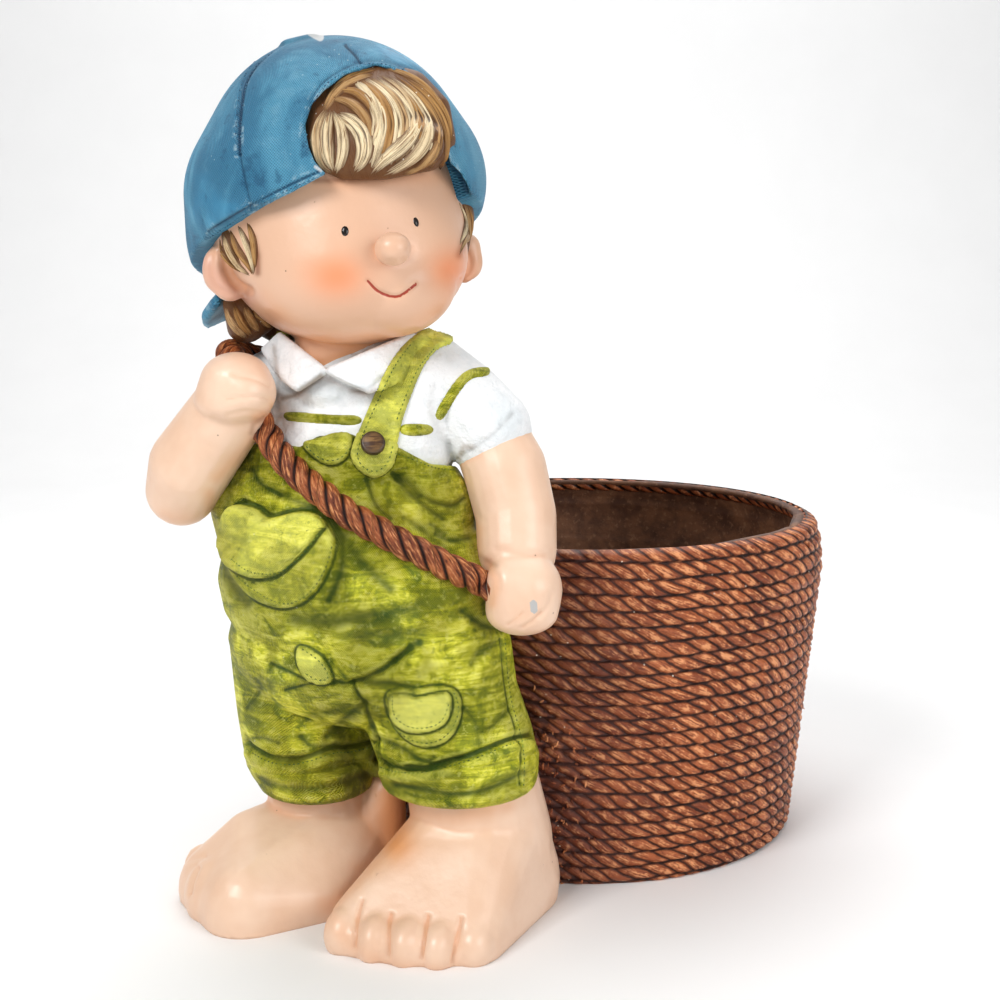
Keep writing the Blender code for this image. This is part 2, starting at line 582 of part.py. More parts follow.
def rope_foot():
    """Where the rope down the back meets the planter's wall."""
    z = 0.93 * PLANTER_HEIGHT
    reach = planter_reach(z) - 0.28 * PLANTER_ROPE - 0.2 * PLANTER_WALL
    bearing = math.radians(ROPE_BEARING)
    place = planter_place() + Vector((reach * math.cos(bearing), reach * math.sin(bearing), z))
    return tuple(place / UNIT)


def planter_hollow():
    """What the figure gives way to, so that the tub stays clear inside."""
    inset = 0.28 * PLANTER_ROPE + 0.5 * PLANTER_WALL
    low, high = 0.5 * PLANTER_FLOOR, PLANTER_HEIGHT - 0.3 * PLANTER_WALL
    heights = [low, PLANTER_HEIGHT - PLANTER_SHOULDER, PLANTER_HEIGHT - 0.4 * PLANTER_SHOULDER, high]
    profile = [(0, low)] + [(planter_reach(z) - inset, z) for z in heights] + [(0, high)]
    return turned_object("planter_hollow", profile)


def make_planter():
    """The hollow tub: floor, inner wall, rim, then the rope windings down the outside."""
    windings = round(PLANTER_HEIGHT / (PLANTER_ROPE * 0.96))
    pitch = PLANTER_HEIGHT / windings
    groove = 0.28 * PLANTER_ROPE
    inset = groove + PLANTER_WALL
    start = PLANTER_HEIGHT - PLANTER_SHOULDER
    profile = [(0, PLANTER_FLOOR), (planter_reach(PLANTER_FLOOR) - inset, PLANTER_FLOOR)]
    for z in (start, start + 0.6 * PLANTER_SHOULDER, PLANTER_HEIGHT - 0.5 * pitch):
        profile.append((planter_reach(z) - inset, z))
    profile.append((planter_reach(PLANTER_HEIGHT) - inset + 0.3 * pitch, PLANTER_HEIGHT))
    profile.append((planter_reach(PLANTER_HEIGHT) - groove, PLANTER_HEIGHT))
    for i in range(windings):
        middle = PLANTER_HEIGHT - (i + 0.5) * pitch
        profile.append((planter_reach(middle), middle))
        if i < windings - 1:
            profile.append((planter_reach(middle - 0.5 * pitch) - groove, middle - 0.5 * pitch))
    profile.append((PLANTER_FOOT_RADIUS - 0.4 * groove, 0))
    profile.append((0, 0))
    return turned_object("planter", profile)


def make_boy():
    clay = clay_object(
        "boy_clay", head_forms, cap_additions, hair_forms, shirt_forms, collar_forms, arm_forms, cuff_forms,
        leg_forms, joint_forms, foot_forms,
    )
    boy = fuse("boy_body", [clay, make_cap(), make_dungarees()], CLAY_GRAIN * UNIT, 5)
    carve(boy, FRONT, EYE)
    carve(boy, BACK, BACK_EYE)
    cut_below(boy, 0)
    keep_largest(boy)
    thin = boy.modifiers.new("Thin", "DECIMATE")
    thin.ratio = BODY_TRIANGLES / len(boy.data.polygons)
    return evaluated(boy)


def main():
    for old in list(bpy.data.objects):
        bpy.data.objects.remove(old)
    scene = bpy.context.scene
    scene.unit_settings.system = "METRIC"
    group = bpy.data.collections.new("standing_boy_planter")
    scene.collection.children.link(group)
    workshop.hide_render = True
    scene.collection.children.link(workshop)

    boy = make_boy()
    onto = surface_finder(boy, EYE)
    behind = surface_finder(boy, BACK_EYE)
    button = clay_object("button", lambda clay: ball(clay, onto(BUTTON_SPOT, 0), BUTTON_RADII))
    boy = boolean(boy, button, "UNION")
    over_back = SHOULDER_ROPE + [behind(spot, ROPE_LIFT) for spot in BACK_ROPE] + [rope_foot()]
    over_chest = [ROPE_START] + [onto(spot, ROPE_LIFT) for spot in CHEST_ROPE] + [ROPE_END]
    boy = boolean(boy, twisted_rope("back_rope", over_back, ROPE_RADIUS, ROPE_TWIST_LENGTH), "UNION")
    boy = boolean(boy, twisted_rope("chest_rope", over_chest, ROPE_RADIUS, ROPE_TWIST_LENGTH), "UNION")
    boy = boolean(boy, planter_hollow(), "DIFFERENCE")
    boy = boolean(make_planter(), boy, "UNION")

    corners = np.array([v.co for v in boy.data.vertices])
    low, high = corners.min(axis=0), corners.max(axis=0)
    middle = Vector(((low[0] + high[0]) / 2, (low[1] + high[1]) / 2, low[2]))
    boy.data.transform(Matrix.Translation(-middle))
    boy.name = boy.data.name = "boy_and_planter"
    workshop.objects.unlink(boy)
    group.objects.link(boy)
    resin = bpy.data.materials.new("painted_resin")
    resin.use_nodes = True
    shader = resin.node_tree.nodes["Principled BSDF"]
    shader.inputs["Base Color"].default_value = (0.45, 0.42, 0.14, 1)
    shader.inputs["Roughness"].default_value = 0.55
    boy.data.materials.clear()
    boy.data.materials.append(resin)
    for spare in list(workshop.objects):
        spare.display_type = "WIRE"
        spare.hide_render = True
    print("triangles", len(boy.data.polygons), "shift", tuple(round(v, 5) for v in middle))


main()
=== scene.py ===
import math

import bmesh
import bpy
import numpy as np
from mathutils import Euler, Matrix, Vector
from mathutils.bvhtree import BVHTree


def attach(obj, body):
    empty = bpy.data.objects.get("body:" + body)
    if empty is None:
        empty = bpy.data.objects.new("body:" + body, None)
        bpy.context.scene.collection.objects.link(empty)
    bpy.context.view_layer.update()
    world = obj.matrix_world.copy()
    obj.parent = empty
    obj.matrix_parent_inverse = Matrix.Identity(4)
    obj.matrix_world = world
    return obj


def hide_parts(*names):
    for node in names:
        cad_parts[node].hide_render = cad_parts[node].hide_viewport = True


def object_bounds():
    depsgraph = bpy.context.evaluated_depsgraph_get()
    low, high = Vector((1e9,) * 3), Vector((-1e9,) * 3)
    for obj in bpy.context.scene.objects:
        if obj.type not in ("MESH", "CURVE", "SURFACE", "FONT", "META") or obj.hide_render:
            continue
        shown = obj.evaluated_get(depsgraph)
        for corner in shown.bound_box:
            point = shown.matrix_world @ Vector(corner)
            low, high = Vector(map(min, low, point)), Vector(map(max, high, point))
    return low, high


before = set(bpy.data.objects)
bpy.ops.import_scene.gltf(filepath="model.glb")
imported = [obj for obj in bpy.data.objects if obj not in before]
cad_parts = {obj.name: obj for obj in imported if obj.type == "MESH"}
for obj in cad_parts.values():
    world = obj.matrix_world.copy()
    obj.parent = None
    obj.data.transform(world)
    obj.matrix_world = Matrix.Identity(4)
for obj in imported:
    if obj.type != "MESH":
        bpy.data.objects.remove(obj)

# Lengths are millimetres in the part's own frame unless a name says otherwise. Colours are linear.
mm = 0.001
eye = np.array((-6.8, -908, 350.1))  # where the front drawings are seen from
drawingPlane = -103.0  # depth of the plane that the drawings lie on
backEye = np.array((eye[0], 2 * drawingPlane - eye[1], eye[2]))
headTurn = (0, -8, 22)
bodyTurn = (0, 0, -16)
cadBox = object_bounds()


# Mesh tools

def meshObject(name, shape):
    data = bpy.data.meshes.new(name)
    shape.to_mesh(data)
    shape.free()
    made = bpy.data.objects.new(name, data)
    bpy.context.scene.collection.objects.link(made)
    return made


# Turns what the modifiers make into the object's own mesh.
def plain(made):
    graph = bpy.context.evaluated_depsgraph_get()
    graph.update()
    data = bpy.data.meshes.new_from_object(made.evaluated_get(graph))
    made.modifiers.clear()
    made.data = data
    return made


def drop(*spare):
    for each in spare:
        bpy.data.objects.remove(each)


def turned(turn):
    return Euler([math.radians(a) for a in turn]).to_matrix()


def formPoints(centre, radii, turn=(0, 0, 0), fine=3):
    shape = bmesh.new()
    bmesh.ops.create_icosphere(shape, subdivisions=fine, radius=1)
    if not isinstance(radii, tuple):
        radii = (radii, radii, radii)
    matrix = turned(turn)
    places = [Vector([a * b for a, b in zip(v.co, radii)]) for v in shape.verts]
    points = [(matrix @ place + Vector(centre)) * mm for place in places]
    shape.free()
    return points


def hullInto(clay, points):
    made = [clay.verts.new(p) for p in points]
    result = bmesh.ops.convex_hull(clay, input=made)
    spare = [g for g in result["geom_interior"] if isinstance(g, bmesh.types.BMVert)]
    bmesh.ops.delete(clay, geom=spare, context="VERTS")


def ball(clay, centre, radii, turn=(0, 0, 0)):
    hullInto(clay, formPoints(centre, radii, turn))


def hull(clay, *balls):
    hullInto(clay, [p for each in balls for p in formPoints(*each)])


def limb(clay, *balls):
    for first, second in zip(balls, balls[1:]):
        hull(clay, first, second)


# A bent plate of even thickness over a grid of points.
def plate(clay, rows, radius):
    for upper, lower in zip(rows, rows[1:]):
        for i in range(len(upper) - 1):
            corners = (upper[i], upper[i + 1], lower[i], lower[i + 1])
            hullInto(clay, [p for c in corners for p in formPoints(c, radius, fine=1)])


def boolean(made, other, operation):
    step = made.modifiers.new(operation.title(), "BOOLEAN")
    step.operation = operation
    step.solver = "EXACT"
    step.object = other
    plain(made)
    drop(other)
    return made


def clayObject(name, *makers):
    shape = bmesh.new()
    for make in makers:
        make(shape)
    return meshObject(name, shape)


# A prism whose sides run along the lines of sight through an outline of the front drawing.
def sightPrism(name, outline, near, far):
    shape = bmesh.new()
    rings = []
    for depth in (near, far):
        ring = []
        for x, z in outline:
            aim = np.array((x, drawingPlane, z)) - eye
            ring.append(shape.verts.new((eye + aim * ((depth - eye[1]) / aim[1])) * mm))
        rings.append(ring)
    for i in range(len(outline)):
        j = (i + 1) % len(outline)
        shape.faces.new((rings[0][i], rings[0][j], rings[1][j], rings[1][i]))
    shape.faces.new(rings[0][::-1])
    shape.faces.new(rings[1])
    bmesh.ops.recalc_face_normals(shape, faces=shape.faces[:])
    return meshObject(name, shape)


# Keeps what lies on the normal's side of a plane and closes the cut.
def cutBelow(made, point, normal=(0, 0, 1)):
    shape = bmesh.new()
    shape.from_mesh(made.data)
    everything = shape.verts[:] + shape.edges[:] + shape.faces[:]
    cut = bmesh.ops.bisect_plane(
        shape, geom=everything, dist=1e-7, plane_co=Vector(point) * mm, plane_no=normal, clear_inner=True
    )
    rim = [e for e in cut["geom_cut"] if isinstance(e, bmesh.types.BMEdge)]
    bmesh.ops.holes_fill(shape, edges=rim, sides=0)
    bmesh.ops.triangulate(shape, faces=[f for f in shape.faces if len(f.verts) > 4])
    shape.to_mesh(made.data)
    shape.free()
    return made


# One skin over all the sources, evened out.
def fuse(name, sources, grain, rounds):
    whole = bmesh.new()
    for source in sources:
        whole.from_mesh(source.data)
    made = meshObject(name, whole)
    skin = made.modifiers.new("Skin", "REMESH")
    skin.mode = "VOXEL"
    skin.voxel_size = grain * mm
    even = made.modifiers.new("Even", "SMOOTH")
    even.factor = 0.5
    even.iterations = rounds
    plain(made)
    drop(*sources)
    return made


def meshArrays(made):
    count = len(made.data.vertices)
    places = np.empty(count * 3)
    normals = np.empty(count * 3)
    made.data.vertices.foreach_get("co", places)
    made.data.vertex_normals.foreach_get("vector", normals)
    return places.reshape(-1, 3) / mm, normals.reshape(-1, 3)


def setPlaces(made, places):
    made.data.vertices.foreach_set("co", (places * mm).ravel())
    made.data.update()


def store(made, name, values):
    layer = made.data.attributes.get(name) or made.data.attributes.new(name, "FLOAT", "POINT")
    layer.data.foreach_set("value", np.asarray(values, np.float32))


# Drawings: lines and outlines as seen from the eye

def sight(places, viewer=eye):
    aim = places - viewer
    reach = (drawingPlane - viewer[1]) / aim[:, 1]
    return np.column_stack([viewer[0] + aim[:, 0] * reach, viewer[2] + aim[:, 2] * reach])


def lineDistance(spots, line):
    best = np.full(len(spots), 1e9)
    ends = np.array(line, float)
    for a, b in zip(ends, ends[1:]):
        along = b - a
        share = np.clip((spots - a) @ along / max(along @ along, 1e-9), 0, 1)
        best = np.minimum(best, np.linalg.norm(spots - a - share[:, None] * along, axis=1))
    return best


# Distance to an outline, positive inside it.
def insideDistance(spots, outline):
    ends = np.array(outline, float)
    ring = np.vstack([ends, ends[:1]])
    inside = np.zeros(len(spots), bool)
    for (ax, az), (bx, bz) in zip(ring, ring[1:]):
        if az == bz:
            continue
        crosses = (az > spots[:, 1]) != (bz > spots[:, 1])
        inside ^= crosses & (spots[:, 0] < (bx - ax) * (spots[:, 1] - az) / (bz - az) + ax)
    distance = lineDistance(spots, ring)
    return np.where(inside, distance, -distance)


def smoothLine(line, rounds=2):
    points = np.array(line, float)
    for _ in range(rounds):
        a, b = points[:-1], points[1:]
        middle = np.empty((2 * len(a), points.shape[1]))
        middle[::2] = 0.75 * a + 0.25 * b
        middle[1::2] = 0.25 * a + 0.75 * b
        points = np.vstack([points[:1], middle, points[-1:]])
    return points


def smoothRing(outline, rounds=2):
    points = np.array(outline, float)
    for _ in range(rounds):
        after = np.roll(points, -1, axis=0)
        both = np.empty((2 * len(points), 2))
        both[::2] = 0.75 * points + 0.25 * after
        both[1::2] = 0.25 * points + 0.75 * after
        points = both
    return points


def nearTo(spots, line, reach):
    low, high = np.min(line, axis=0) - reach, np.max(line, axis=0) + reach
    return np.flatnonzero(((spots > low) & (spots < high)).all(axis=1))


# Presses grooves in and raises areas, and notes where dark paint and painted shade gather: a groove is (line,
# width, depth) and a raised area (outline, height, edge width, dark line of paint and painted shade beside
# it, light paint on it).
def carve(made, drawing, viewer=eye):
    places, normals = meshArrays(made)
    spots = sight(places, viewer)
    toward = viewer - places
    toward /= np.linalg.norm(toward, axis=1)[:, None]
    facing = np.clip(((normals * toward).sum(axis=1) - 0.02) / 0.25, 0, 1)
    count = len(places)
    shift, dark, light = np.zeros(count), np.zeros(count), np.zeros(count)
    for line, width, depth in drawing.get("grooves", ()):
        path = smoothLine(line)
        here = nearTo(spots, path, 3 * width + 1)
        fall = np.exp(-((lineDistance(spots[here], path) / width) ** 2))
        shift[here] -= depth * fall
        dark[here] = np.maximum(dark[here], fall * min(1, max(depth, 0) / 1.2))
    for outline, height, edge, rim, glow in drawing.get("raised", ()):
        ring = smoothRing(outline)
        here = nearTo(spots, ring, edge + 4)
        inner = insideDistance(spots[here], ring)
        step = np.clip(inner / edge + 0.5, 0, 1)
        shift[here] += height * step * step * (3 - 2 * step)
        dark[here] = np.maximum(dark[here], rim * np.exp(-(((inner + 0.5 * edge) / 0.9) ** 2)))
        light[here] = np.maximum(light[here], glow * np.clip(inner / 1.5, 0, 1))
    setPlaces(made, places + normals * (shift * facing)[:, None])
    for name, values in (("darkLine", dark), ("lightPatch", light)):
        old = np.zeros(count, np.float32)
        if name in made.data.attributes:
            made.data.attributes[name].data.foreach_get("value", old)
        store(made, name, np.maximum(old, values * facing))


# How far each point lies below the evened surface, at a fine and at a broad scale: dark paint and painted
# shade gather there.
def noteRecesses(made, fine=3, broad=26):
    places, normals = meshArrays(made)
    count = len(places)
    ends = np.empty(len(made.data.edges) * 2, np.int32)
    made.data.edges.foreach_get("vertices", ends)
    a, b = ends[::2], ends[1::2]
    number = np.maximum(np.bincount(a, minlength=count) + np.bincount(b, minlength=count), 1)
    even = places.copy()
    for i in range(broad):
        even = np.column_stack([
            (np.bincount(a, even[b, k], count) + np.bincount(b, even[a, k], count)) / number for k in range(3)
        ])
        if i == fine - 1:
            store(made, "fineRecess", ((even - places) * normals).sum(axis=1))
    store(made, "broadRecess", ((even - places) * normals).sum(axis=1))


# Cloth threads follow angle and height about an upright axis.
def noteCloth(made, centre, radius, tilt=(0, 0, 0)):
    places, _ = meshArrays(made)
    local = (places - np.array(centre)) @ np.array(turned(tilt))
    store(made, "clothU", np.arctan2(local[:, 0], -local[:, 1]) * radius)
    store(made, "clothV", local[:, 2])


class Surface:
    def __init__(self, *pieces):
        shape = bmesh.new()
        for piece in pieces:
            shape.from_mesh(piece.data)
        self.tree = BVHTree.FromBMesh(shape)
        shape.free()

    # The place and normal seen at a spot of the drawing, raised by a lift.
    def at(self, spot, lift=0.0, viewer=eye):
        aim = Vector((spot[0], drawingPlane, spot[1])) - Vector(viewer)
        hit, normal, _, _ = self.tree.ray_cast(Vector(viewer) * mm, aim.normalized())
        if hit is None:
            return None
        return np.array(hit) / mm + np.array(normal) * lift, np.array(normal)


# The most triangles each dense piece keeps.
finest = {
    "head": 100000, "cap": 105000, "hairBase": 50000, "shirt": 60000, "dungarees": 185000, "armLeft": 32000,
    "armRight": 40000, "legs": 55000, "tubLining": 12000, "button": 4500,
}


# Thins a piece to so many triangles, first where it faces away from the eye.
def thin(made, most):
    count = sum(len(p.vertices) - 2 for p in made.data.polygons)
    places, normals = meshArrays(made)
    away = np.einsum("ij,ij->i", normals, places - eye) > 0
    marks = made.vertex_groups.new(name="away")
    marks.add(np.nonzero(away)[0].tolist(), 1.0, "REPLACE")
    marks.add(np.nonzero(~away)[0].tolist(), 0.05, "REPLACE")
    less = made.modifiers.new("Less", "DECIMATE")
    less.ratio = most / count
    less.vertex_group = "away"
    plain(made)
    made.vertex_groups.clear()


# Paints and names a piece, and keeps it within the solid model's box.
def finishPiece(made, name, paint):
    if name in finest:
        thin(made, finest[name])
    made.name = made.data.name = name
    low, high = [np.array(corner) / mm for corner in cadBox]
    setPlaces(made, np.clip(meshArrays(made)[0], low + (0.05, 0.05, 0), high - 0.05))
    made.data.shade_smooth()
    made.data.materials.clear()
    made.data.materials.append(paint)
    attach(made, "root")
    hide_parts("boy_and_planter")
    faces = sum(len(p.vertices) - 2 for p in made.data.polygons)
    print("made", name, faces, "triangles")
    return made


# Node tools: the same maths serves the materials and the Geometry Nodes

class Link:
    def __init__(self, maker, socket):
        self.maker = maker
        self.socket = socket

    def __add__(self, other):
        return self.maker.maths("ADD", self, other)

    def __radd__(self, other):
        return self.maker.maths("ADD", other, self)

    def __sub__(self, other):
        return self.maker.maths("SUBTRACT", self, other)

    def __rsub__(self, other):
        return self.maker.maths("SUBTRACT", other, self)

    def __mul__(self, other):
        return self.maker.maths("MULTIPLY", self, other)

    def __rmul__(self, other):
        return self.maker.maths("MULTIPLY", other, self)

    def __truediv__(self, other):
        return self.maker.maths("DIVIDE", self, other)

    def __rtruediv__(self, other):
        return self.maker.maths("DIVIDE", other, self)

    def __pow__(self, other):
        return self.maker.maths("POWER", self, other)


class Maker:
    def __init__(self, tree):
        self.tree = tree
        self.kept = {}

    def add(self, kind, settings=None, inputs=None, output=0):
        node = self.tree.nodes.new(kind)
        for name, value in (settings or {}).items():
            if name == "stops":
                ramp = node.color_ramp
                while len(ramp.elements) < len(value):
                    ramp.elements.new(0.5)
                for element, (place, colour) in zip(ramp.elements, value):
                    element.position = place
                    element.color = colour
            else:
                setattr(node, name, value)
        for key, value in (inputs or {}).items():
            if isinstance(value, Link):
                self.tree.links.new(value.socket, node.inputs[key])
            else:
                node.inputs[key].default_value = value
        return Link(self, node.outputs[output])

    def maths(self, operation, *values):
        return self.add("ShaderNodeMath", {"operation": operation}, dict(enumerate(values)))

    def least(self, a, b):
        return self.maths("MINIMUM", a, b)

    def most(self, a, b):
        return self.maths("MAXIMUM", a, b)

    def sine(self, a):
        return self.maths("SINE", a)

    def size(self, a):
        return self.maths("ABSOLUTE", a)

    # 0 below low and 1 above high, with soft ends.
    def step(self, value, low, high):
        return self.add(
            "ShaderNodeMapRange", {"interpolation_type": "SMOOTHSTEP"},
            {0: value, 1: low, 2: high, 3: 0.0, 4: 1.0}
        )

    def mix(self, factor, a, b, way="MIX"):
        settings = {"data_type": "RGBA", "blend_type": way, "clamp_factor": True}
        return self.add("ShaderNodeMix", settings, {0: factor, 6: a, 7: b}, 2)

    def attribute(self, name, output="Fac"):
        if name not in self.kept:
            self.kept[name] = self.add("ShaderNodeAttribute", {"attribute_name": name}, output=output)
        return self.kept[name]

    def place(self):
        if "place" not in self.kept:
            self.kept["place"] = self.add("ShaderNodeTexCoord", output="Object")
        return self.kept["place"]

    def axes(self, vector):
        node = self.add("ShaderNodeSeparateXYZ", inputs={0: vector}).socket.node
        return [Link(self, out) for out in node.outputs]

    def join(self, x, y, z=0.0):
        return self.add("ShaderNodeCombineXYZ", inputs={0: x, 1: y, 2: z})

    def stretch(self, vector, scale):
        return self.add("ShaderNodeVectorMath", {"operation": "MULTIPLY"}, {0: vector, 1: scale})

    def distance(self, a, b):
        return self.add("ShaderNodeVectorMath", {"operation": "DISTANCE"}, {0: a, 1: b}, "Value")

    def noise(self, vector, scale, detail=3.0, rough=0.55, warp=0.0):
        inputs = {"Vector": vector, "Scale": scale, "Detail": detail, "Roughness": rough, "Distortion": warp}
        return self.add("ShaderNodeTexNoise", None, inputs)

    def spots(self, vector, scale):
        return self.add("ShaderNodeTexVoronoi", None, {"Vector": vector, "Scale": scale}, "Distance")

    def bump(self, height, strength=0.5, distance=0.001, normal=None):
        inputs = {"Height": height, "Strength": strength, "Distance": distance}
        if normal is not None:
            inputs["Normal"] = normal
        return self.add("ShaderNodeBump", None, inputs)


# A painted finish: the maker's function gives colour, roughness and normal for one shader.
def paintMaterial(name, build, view=(0.5, 0.5, 0.5, 1), **constants):
    material = bpy.data.materials.new(name)
    material.use_nodes = True
    material.diffuse_color = view
    shader = material.node_tree.nodes["Principled BSDF"]
    for key, value in constants.items():
        shader.inputs[key.replace("_", " ")].default_value = value
    maker = Maker(material.node_tree)
    for key, link in build(maker).items():
        material.node_tree.links.new(link.socket, shader.inputs[key])
    return material


# Finishes

def capPaint(m):
    place = m.place()
    u, v = m.attribute("clothU"), m.attribute("clothV")
    fine, broad, line = m.attribute("fineRecess"), m.attribute("broadRecess"), m.attribute("darkLine")
    brush = m.noise(m.stretch(place, (1.0, 1.0, 0.45)), 34, 4, 0.6, 0.6)
    blotch = m.noise(place, 90, 4, 0.65)
    weave = m.sine(u * 4.2) * m.sine(v * 4.2)
    woven = m.step(m.noise(place, 22, 2), 0.30, 0.48)
    worn = m.step(blotch, 0.50, 0.62)
    blue = m.mix(m.step(brush, 0.36, 0.62), (0.042, 0.205, 0.350, 1), (0.095, 0.345, 0.520, 1))
    blue = m.mix(m.step(brush * 0.4 + blotch * 0.6, 0.52, 0.68) * 0.5, blue, (0.20, 0.46, 0.62, 1))
    blue = m.mix(m.step(blotch, 0.44, 0.32) * 0.55, blue, (0.012, 0.085, 0.180, 1))
    blue = m.mix(weave * woven * 0.55 + 0.08, blue, (0.005, 0.045, 0.11, 1))
    # Dark paint and painted shade in the fine recesses, painted shade in the broad ones, and both in the
    # carved grooves.
    blue = m.mix(m.most(m.step(fine, 0.04, 0.22), m.step(broad, 0.5, 1.8)) * 0.7, blue,
        (0.005, 0.05, 0.12, 1))
    blue = m.mix(line * 0.75, blue, (0.004, 0.035, 0.085, 1))
    edge = m.step(0 - fine, 0.03, 0.14) * worn * m.step(m.noise(place, 380, 2), 0.40, 0.55)
    fleck = m.step(m.spots(place, 170), 0.10, 0.05) * m.step(m.noise(place, 30, 2), 0.46, 0.58)
    blue = m.mix(m.most(edge * 0.45, fleck * 0.6), blue, (0.50, 0.67, 0.74, 1))
    chip = m.step(m.attribute("chipped"), 0.35, 0.65)
    blue = m.mix(chip, blue, (0.72, 0.74, 0.74, 1))
    height = weave * woven * 0.45 + blotch * 0.6 + m.noise(place, 420, 2) * 0.35
    return {
        "Base Color": blue,
        "Roughness": 0.40 + blotch * 0.18,
        "Normal": m.bump(height, 0.8, 0.0010),
    }


def skinPaint(m):
    place = m.place()
    fine, broad, line = m.attribute("fineRecess"), m.attribute("broadRecess"), m.attribute("darkLine")
    soft = m.noise(place, 26, 3)
    grain = m.noise(place, 260, 3)
    skin = m.mix(m.step(soft, 0.35, 0.70), (0.800, 0.530, 0.370, 1), (0.870, 0.620, 0.460, 1))
    # Warm orange-brown painted shade in the broad recesses.
    warmRecessShade = m.step(broad, 0.15, 1.7)
    # The whole head is painted a darker, warmer skin than the arms and legs, as painted shade.
    skin = m.mix(m.attribute("faceTone") * 0.85, skin, (0.740, 0.450, 0.300, 1))
    skin = m.mix(warmRecessShade * 0.50, skin, (0.76, 0.36, 0.18, 1))
    skin = m.mix(m.attribute("shade") * 0.85, skin, (0.78, 0.31, 0.105, 1))
    # Pink-brown along the ear: pink tint strengthened as painted shade.
    skin = m.mix(m.attribute("pink") * 0.5, skin, (0.74, 0.36, 0.28, 1))
    # Brown lines: hair paint at the temple, and painted shade in the ear and in creases.
    skin = m.mix(m.attribute("brownWash") * 0.85, skin, (0.25, 0.085, 0.035, 1))
    # Dark paint and painted shade in the fine recesses and carved grooves.
    skin = m.mix(m.step(fine, 0.06, 0.40) * 0.28, skin, (0.70, 0.36, 0.20, 1))
    skin = m.mix(line * 0.12, skin, (0.70, 0.38, 0.22, 1))
    skin = m.mix(m.attribute("blush") * 0.72, skin, (0.86, 0.25, 0.085, 1))
    pits = m.step(m.spots(place, 95), 0.055, 0.035) * m.step(soft, 0.52, 0.60)
    skin = m.mix(pits * 0.7, skin, (0.23, 0.12, 0.07, 1))
    skin = m.mix(m.step(m.attribute("mouth"), 0.45, 0.75), skin, (0.40, 0.045, 0.020, 1))
    chip = m.step(m.attribute("chipped"), 0.4, 0.6)
    skin = m.mix(chip, skin, (0.47, 0.46, 0.45, 1))
    return {
        "Base Color": skin,
        "Roughness": 0.27 + grain * 0.12 + line * 0.1,
        "Normal": m.bump(grain * 0.3 + m.noise(place, 70, 2) * 0.8 - pits, 0.5, 0.0008),
    }


def eyePaint(m):
    place = m.place()
    flake = m.noise(place, 900, 2)
    return {
        "Base Color": m.mix(m.step(flake, 0.4, 0.7), (0.004, 0.003, 0.003, 1), (0.020, 0.012, 0.010, 1)),
        "Roughness": 0.16 + flake * 0.1,
        "Normal": m.bump(flake, 0.2, 0.0002),
    }


def hairPaint(m):
    place = m.place()
    u, v, tone = m.attribute("along"), m.attribute("across"), m.attribute("tone")
    streak = m.noise(m.join(u * 1.3 + tone * 9, v * 2.4 + tone * 31, tone * 17), 2.0, 4, 0.60, 0.4)
    thin = m.noise(m.join(u * 1.6, v * 6.5 + tone * 13, tone * 5), 2.2, 3, 0.60, 0.3)
    edge = m.step(m.size(v) + (streak - 0.5) * 0.9, 0.42, 0.88)
    ends = m.step(m.size(u - 0.5) + (thin - 0.5) * 0.5, 0.26, 0.50)
    cream = m.step(tone, 0.25, 0.75)
    hair = m.mix(cream, (0.440, 0.235, 0.075, 1), (0.880, 0.730, 0.470, 1))
    hair = m.mix(m.step(streak, 0.50, 0.66) * 0.75, hair, (0.330, 0.145, 0.035, 1))
    hair = m.mix(m.step(thin, 0.54, 0.64) * 0.70, hair, (0.130, 0.042, 0.010, 1))
    hair = m.mix(m.most(edge, ends) * 0.88, hair, (0.100, 0.032, 0.008, 1))
    # Dark paint and painted shade in the fine recesses.
    hair = m.mix(m.step(m.attribute("fineRecess"), 0.05, 0.26) * 0.88, hair, (0.045, 0.014, 0.004, 1))
    glint = m.step(m.spots(place, 210), 0.10, 0.05) * m.step(m.noise(place, 60), 0.5, 0.6)
    hair = m.mix(glint * 0.8, hair, (0.88, 0.84, 0.72, 1))
    return {
        "Base Color": hair,
        "Roughness": 0.34 + streak * 0.2,
        "Normal": m.bump(thin * 0.6 + streak * 0.4, 0.8, 0.0008),
    }


def shirtPaint(m):
    place = m.place()
    fine, broad = m.attribute("fineRecess"), m.attribute("broadRecess")
    plaster = m.noise(place, 210, 4, 0.65)
    lumps = m.noise(place, 75, 3)
    patch = m.noise(place, 40, 3)
    white = m.mix(m.step(patch, 0.35, 0.65), (0.76, 0.80, 0.82, 1), (0.90, 0.91, 0.92, 1))
    white = m.mix(m.step(plaster, 0.46, 0.34) * 0.25, white, (0.66, 0.71, 0.74, 1))
    # Grey in the fine recesses from dark paint and painted shade; in the broad recesses, painted shade.
    white = m.mix(m.step(fine, 0.08, 0.40) * 0.4, white, (0.50, 0.54, 0.56, 1))
    white = m.mix(m.step(broad, 1.0, 3.0) * 0.2, white, (0.60, 0.66, 0.70, 1))
    # Brown painted shade under the collar flaps, in folds and by the sleeve and strap.
    white = m.mix(m.attribute("brownWash") * 0.8, white, (0.30, 0.19, 0.11, 1))
    # Dark paint and painted shade in the carved grooves.
    white = m.mix(m.attribute("darkLine") * 0.35, white, (0.36, 0.35, 0.33, 1))
    return {
        "Base Color": white,
        "Roughness": 0.55 + plaster * 0.2,
        "Normal": m.bump(plaster * 0.6 + lumps * 0.7, 1.0, 0.0026),
    }
